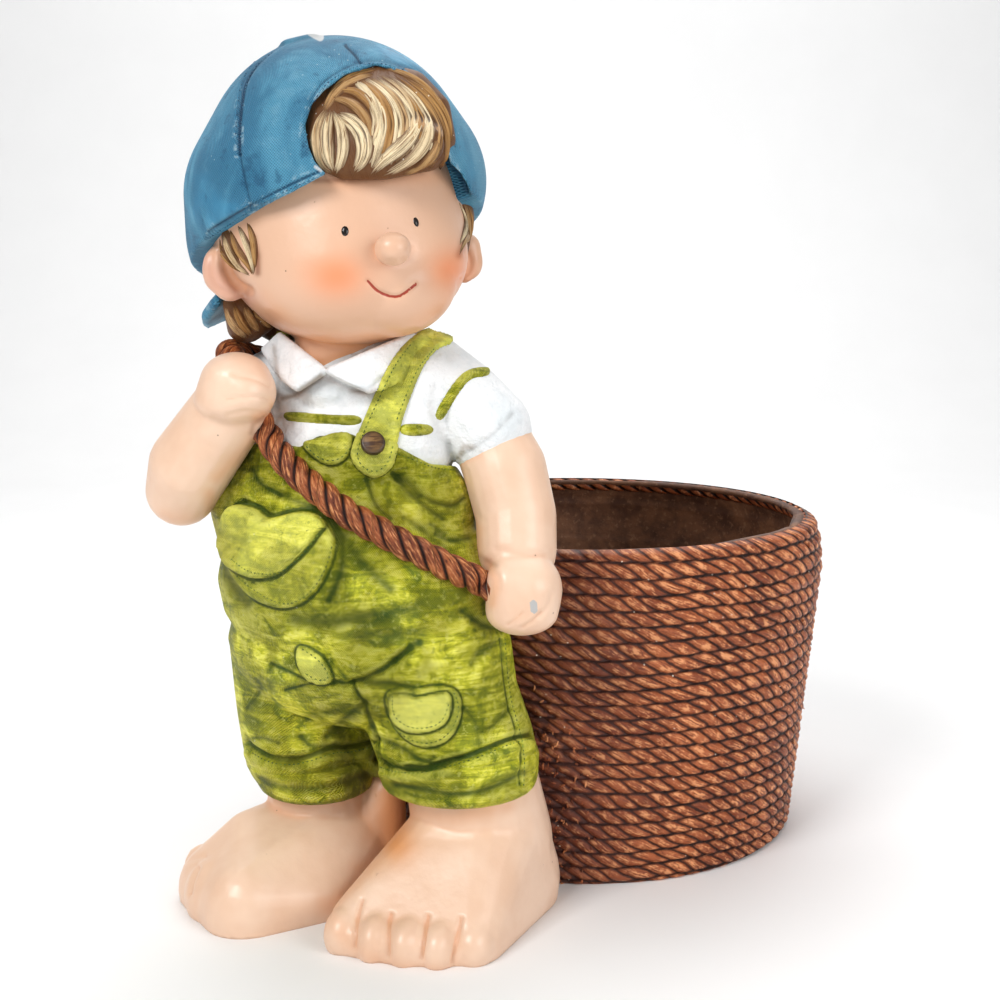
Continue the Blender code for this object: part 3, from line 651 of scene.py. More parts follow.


# The dungarees' greens: a yellow-green brushed over a dark green that stays in the recesses, where shade is
# painted darker too.
def clothPaint(m):
    place = m.place()
    u, v = m.attribute("clothU"), m.attribute("clothV")
    fine, broad, line = m.attribute("fineRecess"), m.attribute("broadRecess"), m.attribute("darkLine")
    light = m.attribute("lightPatch")
    sweep = m.noise(m.join(u * 0.018, v * 0.10, m.axes(place)[1] * 8), 1.6, 5, 0.66, 1.2)
    dab = m.noise(place, 66, 6, 0.72, 0.9)
    hairline = m.noise(m.join(u * 0.05, v * 0.62), 2.4, 4, 0.68)
    cloud = m.noise(place, 24, 3)
    weave = m.sine(u * 4.6) * m.sine(v * 4.6)
    woven = m.step(m.noise(place, 30, 3), 0.36, 0.52) * (1 - light * 0.6)
    shade = sweep * 0.40 + dab * 0.40 + cloud * 0.20
    green = m.mix(m.step(shade, 0.43, 0.56), (0.240, 0.275, 0.008, 1), (0.660, 0.640, 0.022, 1))
    green = m.mix(m.step(shade + hairline * 0.16, 0.58, 0.69) * 0.85, green, (0.880, 0.860, 0.170, 1))
    green = m.mix(m.step(dab, 0.42, 0.31) * 0.58, green, (0.055, 0.115, 0.003, 1))
    green = m.mix(m.step(hairline, 0.43, 0.30) * 0.40, green, (0.080, 0.120, 0.004, 1))
    green = m.mix(light * 0.72, green, (0.840, 0.830, 0.180, 1))
    green = m.mix(weave * woven * 0.50, green, (0.050, 0.095, 0.003, 1))
    speck = m.noise(place, 300, 3, 0.7)
    green = m.mix(m.step(speck, 0.41, 0.33) * 0.35, green, (0.060, 0.110, 0.004, 1))
    green = m.mix(m.step(speck, 0.56, 0.64) * 0.40, green, (0.800, 0.790, 0.190, 1))
    # Dark paint and painted shade in the fine recesses; painted shade in the broad ones.
    deepRecessShade = m.most(m.step(fine + dab * 0.12, 0.10, 0.34), m.step(broad + dab * 0.9 - 0.45, 0.55, 2.2))
    green = m.mix(deepRecessShade * 0.70, green, (0.026, 0.070, 0.003, 1))
    # Dark paint and painted shade in the carved grooves and beside the raised edges.
    green = m.mix(line * 0.72, green, (0.018, 0.055, 0.004, 1))
    raised = m.step(0 - fine, 0.06, 0.26) * m.step(dab, 0.40, 0.58)
    green = m.mix(raised * 0.65, green, (0.660, 0.660, 0.110, 1))
    ochre = m.step(m.noise(place, 17, 2), 0.54, 0.70) * 0.35
    green = m.mix(ochre, green, (0.330, 0.270, 0.010, 1))
    # Pale spots: painted glints on the glossy paint.
    fleck = m.step(m.spots(place, 120), 0.06, 0.035) * m.step(dab, 0.5, 0.6)
    green = m.mix(fleck * 0.8, green, (0.75, 0.78, 0.60, 1))
    height = dab * 0.60 + hairline * 0.25 + weave * woven * 0.35 + speck * 0.45
    return {
        "Base Color": green,
        "Roughness": 0.36 + dab * 0.22,
        "Normal": m.bump(height, 1.0, 0.0016),
    }


def ropePaint(m):
    place = m.place()
    around, along = m.attribute("ropeAround"), m.attribute("ropeAlong")
    lobe = m.attribute("ropeFace")
    fibre = m.noise(m.join(around * 38 + along * 0.6, along * 0.14, 0.0), 1.0, 5, 0.66, 0.25)
    patch = m.noise(place, 75, 4, 0.6)
    brown = m.mix(m.step(patch, 0.36, 0.66), (0.190, 0.040, 0.012, 1), (0.420, 0.115, 0.034, 1))
    brown = m.mix(m.step(fibre, 0.50, 0.62) * m.step(lobe, 0.25, 0.80) * 0.90, brown,
        (0.760, 0.330, 0.130, 1))
    brown = m.mix(m.step(fibre, 0.47, 0.37) * 0.85, brown, (0.040, 0.007, 0.004, 1))
    # Near black between the strands: dark paint with painted shade.
    brown = m.mix(m.step(lobe, 0.55, 0.12) * 0.97, brown, (0.014, 0.003, 0.002, 1))
    glint = m.step(m.spots(place, 160), 0.09, 0.045) * m.step(patch, 0.5, 0.6)
    brown = m.mix(glint * 0.6, brown, (0.80, 0.62, 0.48, 1))
    return {
        "Base Color": brown,
        "Roughness": 0.30 + fibre * 0.22,
        "Normal": m.bump(fibre, 1.0, 0.0011),
    }


def tubPaint(m):
    place = m.place()
    local, phase, face = m.attribute("ropeAcross"), m.attribute("ropePhase"), m.attribute("ropeFace")
    fibre = m.noise(m.join(phase * 7.0, local * 1.1, m.attribute("ropeTurn") * 3.1), 1.0, 4, 0.66, 0.3)
    lobe = m.size(m.maths("COSINE", phase * math.pi))
    patch = m.noise(place, 34, 4, 0.6)
    fleck = m.noise(place, 160, 4, 0.68)
    tan = m.mix(m.step(patch, 0.34, 0.66), (0.240, 0.052, 0.016, 1), (0.470, 0.128, 0.042, 1))
    bright = m.step(fibre * 0.5 + fleck * 0.5, 0.48, 0.58) * m.step(face * 0.6 + lobe * 0.4, 0.55, 0.85)
    tan = m.mix(bright * 0.90, tan, (0.870, 0.375, 0.160, 1))
    tan = m.mix(m.step(fibre, 0.46, 0.36) * 0.60, tan, (0.100, 0.022, 0.008, 1))
    # Near black in the grooves between the windings and strands: dark paint with painted shade.
    dark = m.most(m.step(face + fleck * 0.44 - 0.22, 0.72, 0.36),
        m.step(lobe + fleck * 0.4 - 0.2, 0.50, 0.14) * 0.9)
    tan = m.mix(dark * 0.97, tan, (0.012, 0.003, 0.002, 1))
    # Painted shadow of the boy on the tub beside him.
    near = m.attribute("nearFigure")
    tan = m.mix(near * 0.62, tan, (0.060, 0.010, 0.005, 1))
    glint = m.step(m.spots(place, 130), 0.09, 0.045) * m.step(patch, 0.46, 0.54)
    tan = m.mix(glint * 0.8, tan, (0.90, 0.78, 0.64, 1))
    return {
        "Base Color": tan,
        "Roughness": 0.34 + fibre * 0.25,
        "Normal": m.bump(fibre * 0.5 + fleck * 0.3 + lobe * 0.6, 1.0, 0.0014),
    }


def liningPaint(m):
    place = m.place()
    z = m.axes(place)[2]
    blotch = m.noise(place, 45, 5, 0.65)
    grain = m.noise(place, 330, 3)
    brown = m.mix(m.step(blotch, 0.35, 0.68), (0.075, 0.026, 0.012, 1), (0.215, 0.090, 0.040, 1))
    brown = m.mix(m.step(grain, 0.55, 0.70) * 0.4, brown, (0.36, 0.19, 0.10, 1))
    # Painted shade: darker towards the floor inside the tub.
    brown = m.mix(m.step(z, 0.150, 0.010) * 0.5, brown, (0.040, 0.015, 0.009, 1))
    return {
        "Base Color": brown,
        "Roughness": 0.52 + blotch * 0.2,
        "Normal": m.bump(blotch * 0.6 + grain * 0.4, 0.6, 0.0012),
    }


def buttonPaint(m):
    place = m.place()
    x, y, z = m.axes(place)
    ring = m.noise(m.join(x * 60, y * 60, z * 420), 1.3, 4, 0.6, 0.6)
    brown = m.mix(m.step(ring, 0.36, 0.66), (0.055, 0.022, 0.008, 1), (0.235, 0.125, 0.040, 1))
    brown = m.mix(m.attribute("darkLine") * 0.9, brown, (0.012, 0.008, 0.003, 1))
    return {
        "Base Color": brown,
        "Roughness": 0.28 + ring * 0.2,
        "Normal": m.bump(ring, 0.5, 0.0005),
    }


def floorPaint(m):
    place = m.place()
    grain = m.noise(place, 9, 3)
    return {"Base Color": m.mix(grain, (0.86, 0.86, 0.86, 1), (0.90, 0.90, 0.90, 1)),
        "Roughness": 0.6 + grain * 0.1}


finishes = {
    "cap": paintMaterial("capBluePaint", capPaint, (0.06, 0.25, 0.42, 1), Specular_IOR_Level=0.3),
    "skin": paintMaterial("fleshPaint", skinPaint, (0.83, 0.57, 0.4, 1), Coat_Roughness=0.3),
    "eye": paintMaterial("eyeBlackPaint", eyePaint, (0.01, 0.01, 0.01, 1)),
    "hair": paintMaterial("hairWashPaint", hairPaint, (0.45, 0.28, 0.12, 1), Specular_IOR_Level=0.3),
    "shirt": paintMaterial("shirtWhitePaint", shirtPaint, (0.8, 0.83, 0.85, 1)),
    "cloth": paintMaterial("dungareeGreenPaint", clothPaint, (0.3, 0.38, 0.03, 1), Specular_IOR_Level=0.3),
    "rope": paintMaterial("ropeBrownPaint", ropePaint, (0.2, 0.06, 0.03, 1), Specular_IOR_Level=0.35),
    "tub": paintMaterial("tubRopePaint", tubPaint, (0.4, 0.2, 0.1, 1), Specular_IOR_Level=0.35),
    "lining": paintMaterial("tubLiningPaint", liningPaint, (0.15, 0.06, 0.03, 1)),
    "button": paintMaterial("buttonWoodPaint", buttonPaint, (0.15, 0.07, 0.02, 1)),
}
print("finishes", len(finishes))


# Head: face, ears and neck in one skin

faceSettings = {
    "grain": 1.1,
    "eyes": [((-83.3, -156, 368), (1.9, 2.7)), ((-47.8, -163, 372.2), (1.7, 2.6))],
    "blush": [((-93.8, 345.2), 15.5, 11), ((-32.3, 348.9), 12, 11)],
    "smile": [(-76.9, 343.1), (-71.7, 337.3), (-64.2, 334.7), (-59.4, 335.2), (-51.4, 341.6)],
}


def headForms(clay):
    hull(clay, ((-92.3, -103, 377.1), (67, 66, 68), headTurn, 5),
        ((-78.7, -128, 353), (57, 46, 42), headTurn, 5))
    ball(clay, (-58.2, -178, 359), (9, 9, 8.3), headTurn)
    hull(clay, ((-62.2, -137, 341.9), (34, 30, 27), headTurn, 5))
    limb(clay, ((-86.1, -100, 317.1), 25), ((-86.6, -109, 296.3), 22))
    hull(clay, ((-89, -108, 316.4), 27), ((-98.7, -122, 305.6), 11))


def earForms(clay):
    hull(clay, ((-148.5, -128, 356), (7, 7, 8)), ((-153.8, -128, 348.9), (6, 7, 11)),
        ((-145.8, -128, 339.3), (8, 6, 6.5)))
    hull(clay, ((-24.2, -82, 360.7), (7, 6, 8)), ((-22, -82, 353.2), (6, 6, 9)), ((-26.3, -84, 346.7), 5))


headDrawing = {
    "grooves": [
        ([(-159.2, 356.6), (-160.3, 348.9), (-158.1, 340.4), (-151.9, 336.5), (-146, 335.8)], 2.2, 1.3),
        ([(-152.9, 357.4), (-152.2, 348.1), (-147.7, 340.9), (-141.3, 337.8)], 2.6, 3.2),
        ([(-157.5, 358.1), (-157.8, 348.9), (-154.9, 342), (-148.3, 337.3), (-142.9, 336.5)], 2.4, -0.7),
        (faceSettings["smile"], 1.0, 1.3),
        ([(-72.9, 361.2), (-71.4, 356.6), (-67.6, 353.2), (-61.4, 352.6), (-55.9, 354.8), (-53.5, 359.7)],
            2.2, 0.7),
        ([(-24.2, 358.1), (-22.1, 353.5), (-23.2, 347.4), (-26.8, 344.3)], 1.6, 1.2),
        ([(-129.4, 323.6), (-113.6, 313), (-92.3, 309.3), (-70.9, 310.3), (-52.2, 315.7)], 2.6, 0.9),
    ],
    "raised": [],
}


def makeHead():
    head = fuse("head", [clayObject("headClay", headForms, earForms)], faceSettings["grain"], 8)
    carve(head, headDrawing)
    noteRecesses(head)
    places, normals = meshArrays(head)
    spots = sight(places)
    front = normals[:, 1] < 0.1
    blush = np.zeros(len(places))
    for middle, wide, high in faceSettings["blush"]:
        away = (spots - np.array(middle)) / (wide, high)
        blush = np.maximum(blush, np.exp(-((away ** 2).sum(axis=1))) * front)
    store(head, "blush", blush)
    mouth = np.exp(-((lineDistance(spots, smoothLine(faceSettings["smile"])) / 1.0) ** 2)) * front
    store(head, "mouth", mouth)
    chin = 306.6
    neck = np.clip((chin + 14 - places[:, 2]) / 18, 0, 1) * np.clip((-normals[:, 2] + 0.35), 0, 1)
    hemShade = np.exp(-((lineDistance(spots, [(-157.7, 359.4), (-132.3, 381.2), (-102.5, 393.6),
        (-69.9, 396.7), (-34.6, 397.7), (-22.6, 377.6)]) / 4.5) ** 2))
    cheeks = np.exp(-((lineDistance(spots, [(-133.4, 333.1), (-118.9, 316.2), (-89.6, 309.3), (-54.8, 314.6),
        (-32.3, 333.1)]) / 6) ** 2))
    store(head, "shade", np.clip(neck + 0.30 * hemShade * front + 0.35 * cheeks, 0, 1))
    # Painted shade over the whole head.
    store(head, "faceTone", np.ones(len(places)))
    # Pink tint along the ear, used as painted shade.
    store(head, "pink", np.exp(-((lineDistance(spots,
        [(-163.2, 353.1), (-156.6, 341), (-142.5, 333.1)]) / 6) ** 2)))
    # Brown lines: painted shade in the near ear's hollow, hair paint on the temple, and brown lines under the
    # fringe and beside the far ear.
    concha = np.exp(-((lineDistance(spots, [(-151.6, 348.9), (-148.2, 341.2), (-142.1, 336.5)]) / 3.4) ** 2))
    sideHair = np.exp(-((lineDistance(spots, [(-137.4, 365.8), (-135.2, 356.6),
        (-135.4, 347.4)]) / 1.8) ** 2))
    hair = np.exp(-((lineDistance(spots, [(-104.2, 395.5), (-82.6, 395.5), (-57.8, 399.3),
        (-37.7, 405.4)]) / 1.6) ** 2)) * 0.7
    farEar = np.exp(-((lineDistance(spots, [(-28.3, 356.6), (-26.7, 361.2), (-23.9, 371.9)]) / 2.2) ** 2))
    store(head, "brownWash", np.maximum.reduce([concha * 0.75, sideHair, hair, farEar]))
    return head


# A small dark dot pressed on the skin.
def eyeDot(shape, onto, spot, radii):
    place, normal = onto.at(spot, -0.4)
    matrix = Vector(normal).to_track_quat("Z", "Y").to_matrix()
    dot = bmesh.ops.create_uvsphere(shape, u_segments=20, v_segments=12, radius=1)["verts"]
    for vert in dot:
        flat = Vector((vert.co.x * radii[0], vert.co.y * radii[1], vert.co.z * 1.1))
        vert.co = (Vector(place) + matrix @ flat) * mm


# Cap: dome, opening, button and bill

capSettings = {
    "grain": 1.05,
    "hem": ((-160.1, -123, 359.7), (-61.8, -175, 393), (-19.6, -96, 378.4)),
    "opening": [
        (-98.2, 398.8), (-103.9, 404.9), (-107.4, 413.6), (-108.7, 423.8), (-104.9, 434.5), (-98, 442.1),
        (-87.4, 449.7), (-71.8, 454.2), (-58.8, 451.2),
        (-45.9, 442.6), (-37.6, 429.9), (-34.5, 419.3), (-34.6, 410.1), (-33, 404.4), (-27.8, 399.8),
        (-24.1, 393.6), (-22.1, 386.4), (-21, 378.1),
        (-19.5, 365.6),
        (-107.3, 362), (-135.8, 364.6), (-141.9, 375.8), (-129.6, 383), (-113.6, 391),
    ],
    "bill": ((70, 78, -38, 0), (77, 68, -46, 4), (83, 54, -53, 12)),
    "billThickness": 7,
}


def capForms(clay):
    hull(
        clay, ((-92.1, -101, 398.4), (70.4, 72.5, 70.4), headTurn, 5),
        ((-93, -101, 391.1), (79.6, 78, 61.5), headTurn, 5),
        ((-101.6, -87, 371.3), (73.5, 69, 67), headTurn, 5),
    )


def capExtras(clay):
    hull(clay, ((-111.1, -111, 462.6), (9, 9, 4)), ((-103.3, -111, 463.6), (8, 9, 5)))
    head = Vector((-93.9, -101, 385.4))
    matrix = turned(headTurn)
    rows = []
    for reach, spread, fall, longer in capSettings["bill"]:
        row = []
        for step in range(9):
            angle = math.radians(spread * (step - 4) / 4)
            ahead = reach * math.cos(angle) + longer * math.cos(angle) ** 2
            place = Vector((reach * math.sin(angle), ahead, fall - 8 * (1 - math.cos(angle))))
            row.append(tuple(head + matrix @ place))
        rows.append(row)
    plate(clay, rows, capSettings["billThickness"] / 2)


capDrawing = {
    "grooves": [
        ([(-124.3, 462.1), (-130.5, 457.6), (-136.8, 451), (-140.3, 444.3), (-142.5, 432.4), (-143.8, 417.4),
            (-143.7, 409.1)], 1.0, 1.5),
        ([(-126.6, 462.1), (-132.7, 457.6), (-139.3, 451), (-142.8, 444.3), (-145, 432.4), (-146.3, 417.4)],
            1.6, -0.5),
        ([(-143.4, 409.1), (-140.6, 393.3), (-137.8, 381.1)], 0.9, 0.5),
        ([(-86.9, 464.3), (-82.4, 460.3), (-79.2, 455.9)], 1.0, 1.0),
        ([(-160.7, 368.9), (-146.4, 377.3), (-129.1, 387.6), (-113.5, 395.2), (-101.8, 400.1)], 0.9, 0.8),
        ([(-162.3, 364.6), (-145, 373.8), (-126.1, 384.1), (-110.5, 391.3), (-98, 396.3)], 1.6, -0.6),
        ([(-106.2, 414.4), (-105.5, 426.4), (-98.7, 441.3), (-87.9, 448.7), (-75.6, 453.5), (-61.8, 451.7),
            (-48.1, 444.3), (-38.3, 429.4), (-33.7, 414.4)], 1.5, -0.8),
        ([(-110, 412.9), (-109.1, 427.1), (-102.5, 443.5), (-89.4, 452.4), (-75.5, 457.3), (-58.8, 455),
            (-43.5, 446.5), (-34.4, 430.9), (-29.9, 412.9)], 1.0, 0.45),
    ],
    "raised": [],
}


def makeCap():
    dome = clayObject("capDome", capForms)
    first, middle, last = [Vector(p) for p in capSettings["hem"]]
    upward = (middle - first).cross(last - first).normalized()
    if upward.z < 0:
        upward = -upward
    cutBelow(dome, first, upward)
    boolean(dome, sightPrism("capOpening", capSettings["opening"], -259, -124), "DIFFERENCE")
    cap = fuse("cap", [dome, clayObject("capExtras", capExtras)], capSettings["grain"], 4)
    carve(cap, capDrawing)
    noteRecesses(cap)
    noteCloth(cap, (-93.3, -101, 390.6), 76, headTurn)
    places = meshArrays(cap)[0]
    spots = sight(places)
    chipped = np.exp(-((lineDistance(spots, [(-104.6, 470.6), (-102.5, 469.4),
        (-100.1, 468.2)]) / 2.4) ** 2)) * (places[:, 1] < -80)
    corner = np.exp(-((lineDistance(spots, [(-103.8, 402.6), (-101, 400.5)]) / 1.8) ** 2))
    store(cap, "chipped", np.maximum(chipped, corner * 0.6))
    return cap


# Hair: a base form, then locks laid on it

hairSettings = {"grain": 1.1, "acrossPoints": 17, "steps": 30}


def hairForms(clay):
    hull(
        clay, ((-94.1, -152, 425.6), 9), ((-83.5, -143, 438), 9), ((-67.8, -135, 442.8), 9),
        ((-51.2, -128, 439.7), 9),
        ((-40.6, -131, 428.6), 9), ((-37.8, -139, 413.2), 9), ((-94.2, -162, 406.6), 9),
        ((-81.6, -168, 400), 8),
        ((-62.3, -167, 400.1), 8), ((-42.8, -151, 405), 8), ((-67.6, -158, 421.2), 13),
    )
    hull(clay, ((-84.3, -164, 406.5), (12, 7, 11)), ((-66.9, -169, 405.1), (15, 7, 10)),
        ((-44.7, -162, 409), (11, 7, 10)))
    limb(clay, ((-138.1, -138, 372.9), (10, 8, 10)), ((-137.7, -142, 359.9), (9, 7, 10)),
        ((-135.6, -138, 351.5), (5, 5, 5)))
    hull(clay, ((-143.3, -108, 330.6), (10, 12, 9)), ((-142.5, -102, 318.3), (10, 12, 8)),
        ((-134.1, -100, 323.5), (8, 10, 8)))
    limb(clay, ((-30.3, -108, 390.3), (7, 10, 9)), ((-25.2, -105, 376), (5, 8, 9)),
        ((-27.4, -105, 359.4), (4, 6, 6)))
    ball(clay, (-101.7, -63, 332.3), (50, 26, 26), headTurn)


# Each lock is (path on the front drawing, half width, thickness, tone).
def hairLocks():
    locks = []
    inner = np.array([(-83.3, 447.3), (-72.4, 438), (-68, 424.9), (-71.2, 411.4), (-75.6, 399)])
    outer = np.array([(-58.8, 449.5), (-43.3, 438), (-35.1, 423.4), (-34.5, 411.4), (-38.5, 400.5)])
    for i in range(9):
        share = i / 8
        path = inner * (1 - share) + outer * share
        path[-1] = path[-1] + (0, 1.6 * math.sin(math.pi * share))
        tone = (0.95, 0.25, 0.85, 0.45, 1.0, 0.2, 0.75, 0.3, 0.1)[i]
        locks.append((path, 4.3 - 0.8 * share, 3.2, tone))
    locks += [
        ([(-74.5, 398.7), (-67, 406.9), (-59.2, 412.1), (-50.6, 420.1), (-49, 427.9)], 4.4, 3.6, 0.98),
        ([(-68.6, 397.8), (-59.3, 402.3), (-50.7, 408.4), (-44.5, 416.6), (-43.7, 424.9)], 4.0, 3.2, 0.60),
        ([(-57.8, 398.4), (-49.3, 402.3), (-41.5, 408.4), (-37.9, 417.4)], 3.6, 3.0, 0.35),
        ([(-69.5, 449.5), (-57.4, 441.3), (-50.6, 429.4), (-53.8, 412.9), (-61.6, 401.6)], 3.6, 3.4, 0.50),
        ([(-75, 439.1), (-72, 432.4), (-70.1, 424.9), (-72.7, 417.4), (-74.9, 411.4)], 3.4, 4.2, 1.00),
        ([(-91.3, 429.7), (-82.1, 424.9), (-76.9, 415.9), (-77.8, 406.9), (-84, 399.3)], 5.6, 4.0, 0.90),
        ([(-97.3, 438), (-85, 436.1), (-76.7, 428.6), (-74.2, 418.9), (-75.6, 405.4)], 3.2, 3.6, 0.35),
        ([(-93.4, 441.3), (-81.9, 441.3), (-73.6, 433.9), (-72.9, 426.4)], 3.0, 3.2, 0.25),
        ([(-67.9, 453.2), (-54.2, 449.5), (-41.3, 439.8), (-33.5, 425.6)], 3.4, 2.8, 0.35),
        ([(-57.3, 448.7), (-42.8, 440.6), (-33.5, 427.1), (-32.4, 412.9)], 3.0, 2.6, 0.15),
        ([(-72.6, 449.9), (-83.3, 446.5), (-93.4, 439.8), (-99.7, 429.4)], 3.8, 3.2, 0.35),
        ([(-71, 452.4), (-81.8, 449.5), (-91, 444.3), (-97.3, 438.3)], 3.0, 2.6, 0.20),
        ([(-97.4, 432.4), (-102.1, 424.9), (-103.6, 412.9), (-100.2, 402.3), (-94.1, 398.6)], 3.6, 4.0, 0.50),
        ([(-95.5, 431.6), (-97.5, 421.9), (-97.8, 409.9), (-94.1, 399)], 4.6, 4.6, 0.62),
        ([(-94, 430.9), (-89.8, 423.4), (-88.4, 414.4), (-90.1, 405.4), (-93.3, 398.6)], 3.6, 4.2, 0.72),
        ([(-140.3, 373.5), (-137.1, 365.8), (-136.4, 356.6), (-136.9, 348.9)], 2.6, 3.2, 0.30),
        ([(-145, 371.9), (-140.6, 362.8), (-137.7, 353.5), (-137.6, 346.1)], 2.7, 3.6, 0.60),
        ([(-149.4, 369.6), (-145.4, 359.7), (-140.1, 352), (-137.9, 346.1)], 2.7, 3.4, 0.20),
        ([(-153.2, 367.4), (-150.4, 358.1), (-144.8, 350.5), (-139.5, 346.1)], 2.6, 3.0, 0.50),
        ([(-154.9, 365.1), (-154, 358.1), (-149.5, 352), (-144.1, 347.7)], 2.0, 2.6, 0.20),
        ([(-153.2, 329.6), (-150.3, 322.6), (-146.5, 317.1), (-141.9, 312.9)], 3.4, 3.4, 0.40),
        ([(-148.5, 330.6), (-146.3, 324.1), (-143.3, 318.7), (-139.5, 314)], 3.2, 3.4, 0.20),
        ([(-143, 330), (-140.8, 324.9), (-138.6, 320.2), (-135.2, 316.3)], 3.0, 3.2, 0.35),
        ([(-138.4, 328), (-135, 324.1), (-131.5, 320.2), (-128.4, 318.7)], 2.2, 2.4, 0.30),
        ([(-26.6, 385.7), (-23.1, 378), (-23.3, 368.9), (-27, 360.5), (-28.6, 356.6)], 2.4, 2.4, 0.40),
        ([(-28.5, 384.1), (-25.4, 376.5), (-25.4, 368.9), (-28.3, 362)], 2.0, 2.6, 0.70),
        ([(-24.6, 383.4), (-21.7, 377.3), (-22, 369.6), (-25.2, 362.8)], 1.8, 2.2, 0.20),
    ]
    return locks


# A tapered strand: a domed cross-section with fine ridges, swept along its path.
def sweepLock(shape, layers, onto, path, width, thick, tone):
    found = [onto.at(spot, 0.2) for spot in smoothLine(path, 3)]
    found = [f for f in found if f is not None]
    if len(found) < 4:
        return
    knots = np.array([f[0] for f in found])
    steep = np.array([f[1] for f in found])
    reached = np.concatenate([[0], np.cumsum(np.linalg.norm(np.diff(knots, axis=0), axis=1))])
    count, across = hairSettings["steps"], hairSettings["acrossPoints"]
    wanted = np.linspace(0, reached[-1], count)
    line = np.column_stack([np.interp(wanted, reached, knots[:, k]) for k in range(3)])
    up = np.column_stack([np.interp(wanted, reached, steep[:, k]) for k in range(3)])
    for _ in range(6):
        line[1:-1] = 0.5 * line[1:-1] + 0.25 * (line[:-2] + line[2:])
        up[1:-1] = 0.5 * up[1:-1] + 0.25 * (up[:-2] + up[2:])
    rings = []
    ridges = 1.3 + 0.35 * width
    for i in range(count):
        share = i / (count - 1)
        ahead = line[min(i + 1, count - 1)] - line[max(i - 1, 0)]
        ahead = ahead / np.linalg.norm(ahead)
        side = np.cross(ahead, up[i])
        side /= np.linalg.norm(side)
        over = np.cross(side, ahead)
        swell = max(0.04, math.sin(math.pi * (0.06 + 0.90 * share)) ** 0.65)
        ring = []
        for j in range(across):
            v = 2 * j / (across - 1) - 1
            rise = math.sqrt(max(0, 1 - v * v)) * (0.84 + 0.16 * math.cos(ridges * math.pi * v + tone * 20))
            spot = line[i] + side * (v * width * swell) + over * (thick * swell * rise - 0.35 * thick)
            vert = shape.verts.new(spot * mm)
            vert[layers[0]], vert[layers[1]], vert[layers[2]] = share, v, tone
            ring.append(vert)
        for v in (0.8, -0.8):
            vert = shape.verts.new((line[i] + side * (v * width * swell) - over * (0.9 * thick * swell)) * mm)
            vert[layers[0]], vert[layers[1]], vert[layers[2]] = share, v, tone
            ring.append(vert)
        rings.append(ring)
    for first, second in zip(rings, rings[1:]):
        for j in range(len(first)):
            k = (j + 1) % len(first)
            shape.faces.new((first[j], second[j], second[k], first[k]))
    shape.faces.new(rings[0])
    shape.faces.new(rings[-1][::-1])


def makeHair(*others):
    base = fuse("hair", [clayObject("hairClay", hairForms)], hairSettings["grain"], 3)
    noteRecesses(base)
    places, _ = meshArrays(base)
    store(base, "along", places[:, 2] * 0.03)
    store(base, "across", np.sin(places[:, 0] * 0.35 + places[:, 2] * 0.1) * 0.75)
    store(base, "tone", np.full(len(places), 0.15))
    onto = Surface(base, *others)
    shape = bmesh.new()
    layers = [shape.verts.layers.float.new(name) for name in ("along", "across", "tone")]
    for lock in hairLocks():
        sweepLock(shape, layers, onto, *lock)
    bmesh.ops.triangulate(shape, faces=[f for f in shape.faces if len(f.verts) > 4])
    bmesh.ops.recalc_face_normals(shape, faces=shape.faces[:])
    locks = meshObject("hairLocks", shape)
    noteRecesses(locks, 2, 4)
    return base, locks


# Shirt, collar and sleeves

shirtSettings = {"grain": 1.15, "stripeHeight": 1.7}


def shirtForms(clay):
    hull(clay, ((-123.7, -82, 279.1), 27), ((-50.3, -113, 283.9), 27),
        ((-86.6, -105, 253), (56.8, 41.8, 35), bodyTurn))
    hull(
        clay, ((-116, -88, 293.8), 20), ((-53.6, -108, 298.9), 20),
        ((-86.1, -102, 305.5), (34, 30, 14), bodyTurn),
        ((-95.3, -118, 285.4), 17),
    )
    limb(clay, ((-43, -108, 295.2), 20), ((-27, -112, 279.6), 23), ((-13.7, -115, 264.9), 24))
    limb(clay, ((-124.6, -86, 289.3), 20), ((-144.4, -84, 277.1), 22), ((-155, -82, 264.2), 22))


def collarForms(clay):
    plate(clay, [
        [(-122.8, -113, 314.5), (-131.7, -108, 306.9)], [(-110.3, -129, 307), (-119.7, -127, 293.9)],
        [(-96.8, -140, 297.9), (-110.7, -137, 289)],
    ], 2.6)
    plate(clay, [
        [(-52.5, -125, 315.1), (-46.1, -118, 309)], [(-71.7, -145, 307.4), (-61.9, -142, 294)],
        [(-93.3, -144, 298.2), (-73.1, -149, 288.9)],
    ], 2.6)


stripes = [
    [(-123.3, 272.9), (-118.2, 273.5), (-99.3, 271.6), (-81.5, 271.6), (-81.6, 266.2), (-99.3, 267.1),
        (-118.3, 268.4), (-122.7, 269.4)],
    [(-60.5, 266.5), (-51.8, 267.1), (-42.9, 265.9), (-43, 261.7), (-51.9, 260.5), (-60.6, 261.4)],
    [(-41, 270), (-41.5, 273.2), (-34.3, 285.1), (-27.6, 293.7), (-21.6, 296.9), (-13.7, 297.5),
        (-11.8, 295.3), (-13.7, 292.8), (-20.8, 292.2), (-24.8, 289.6), (-31.1, 280.8), (-37.2, 270),
        (-39.4, 269.1)],
]

shirtDrawing = {
    "grooves": [
        ([(-137.2, 304.7), (-130.4, 294.5), (-121.9, 285.1), (-114.8, 284), (-102.8, 293)], 1.4, 0.9),
        ([(-98.1, 292.2), (-87.9, 286.6), (-78.5, 284), (-69.7, 292.2)], 1.4, 0.9),
        ([(-30.5, 247.7), (-20.1, 254.1), (-9, 262), (0.2, 272.4)], 1.6, 0.9),
        ([(-128.5, 307.9), (-128.5, 293.7), (-127.2, 281.1), (-126.2, 271.6)], 2.4, 0.9),
        ([(-42.2, 287.4), (-44.6, 276.4), (-40.7, 265.2), (-32.9, 250.9)], 2.6, 0.8),
        ([(-111.8, 277.9), (-89.6, 278.7), (-80.1, 279.5)], 2.5, 0.5),
    ],
    "raised": [],
}


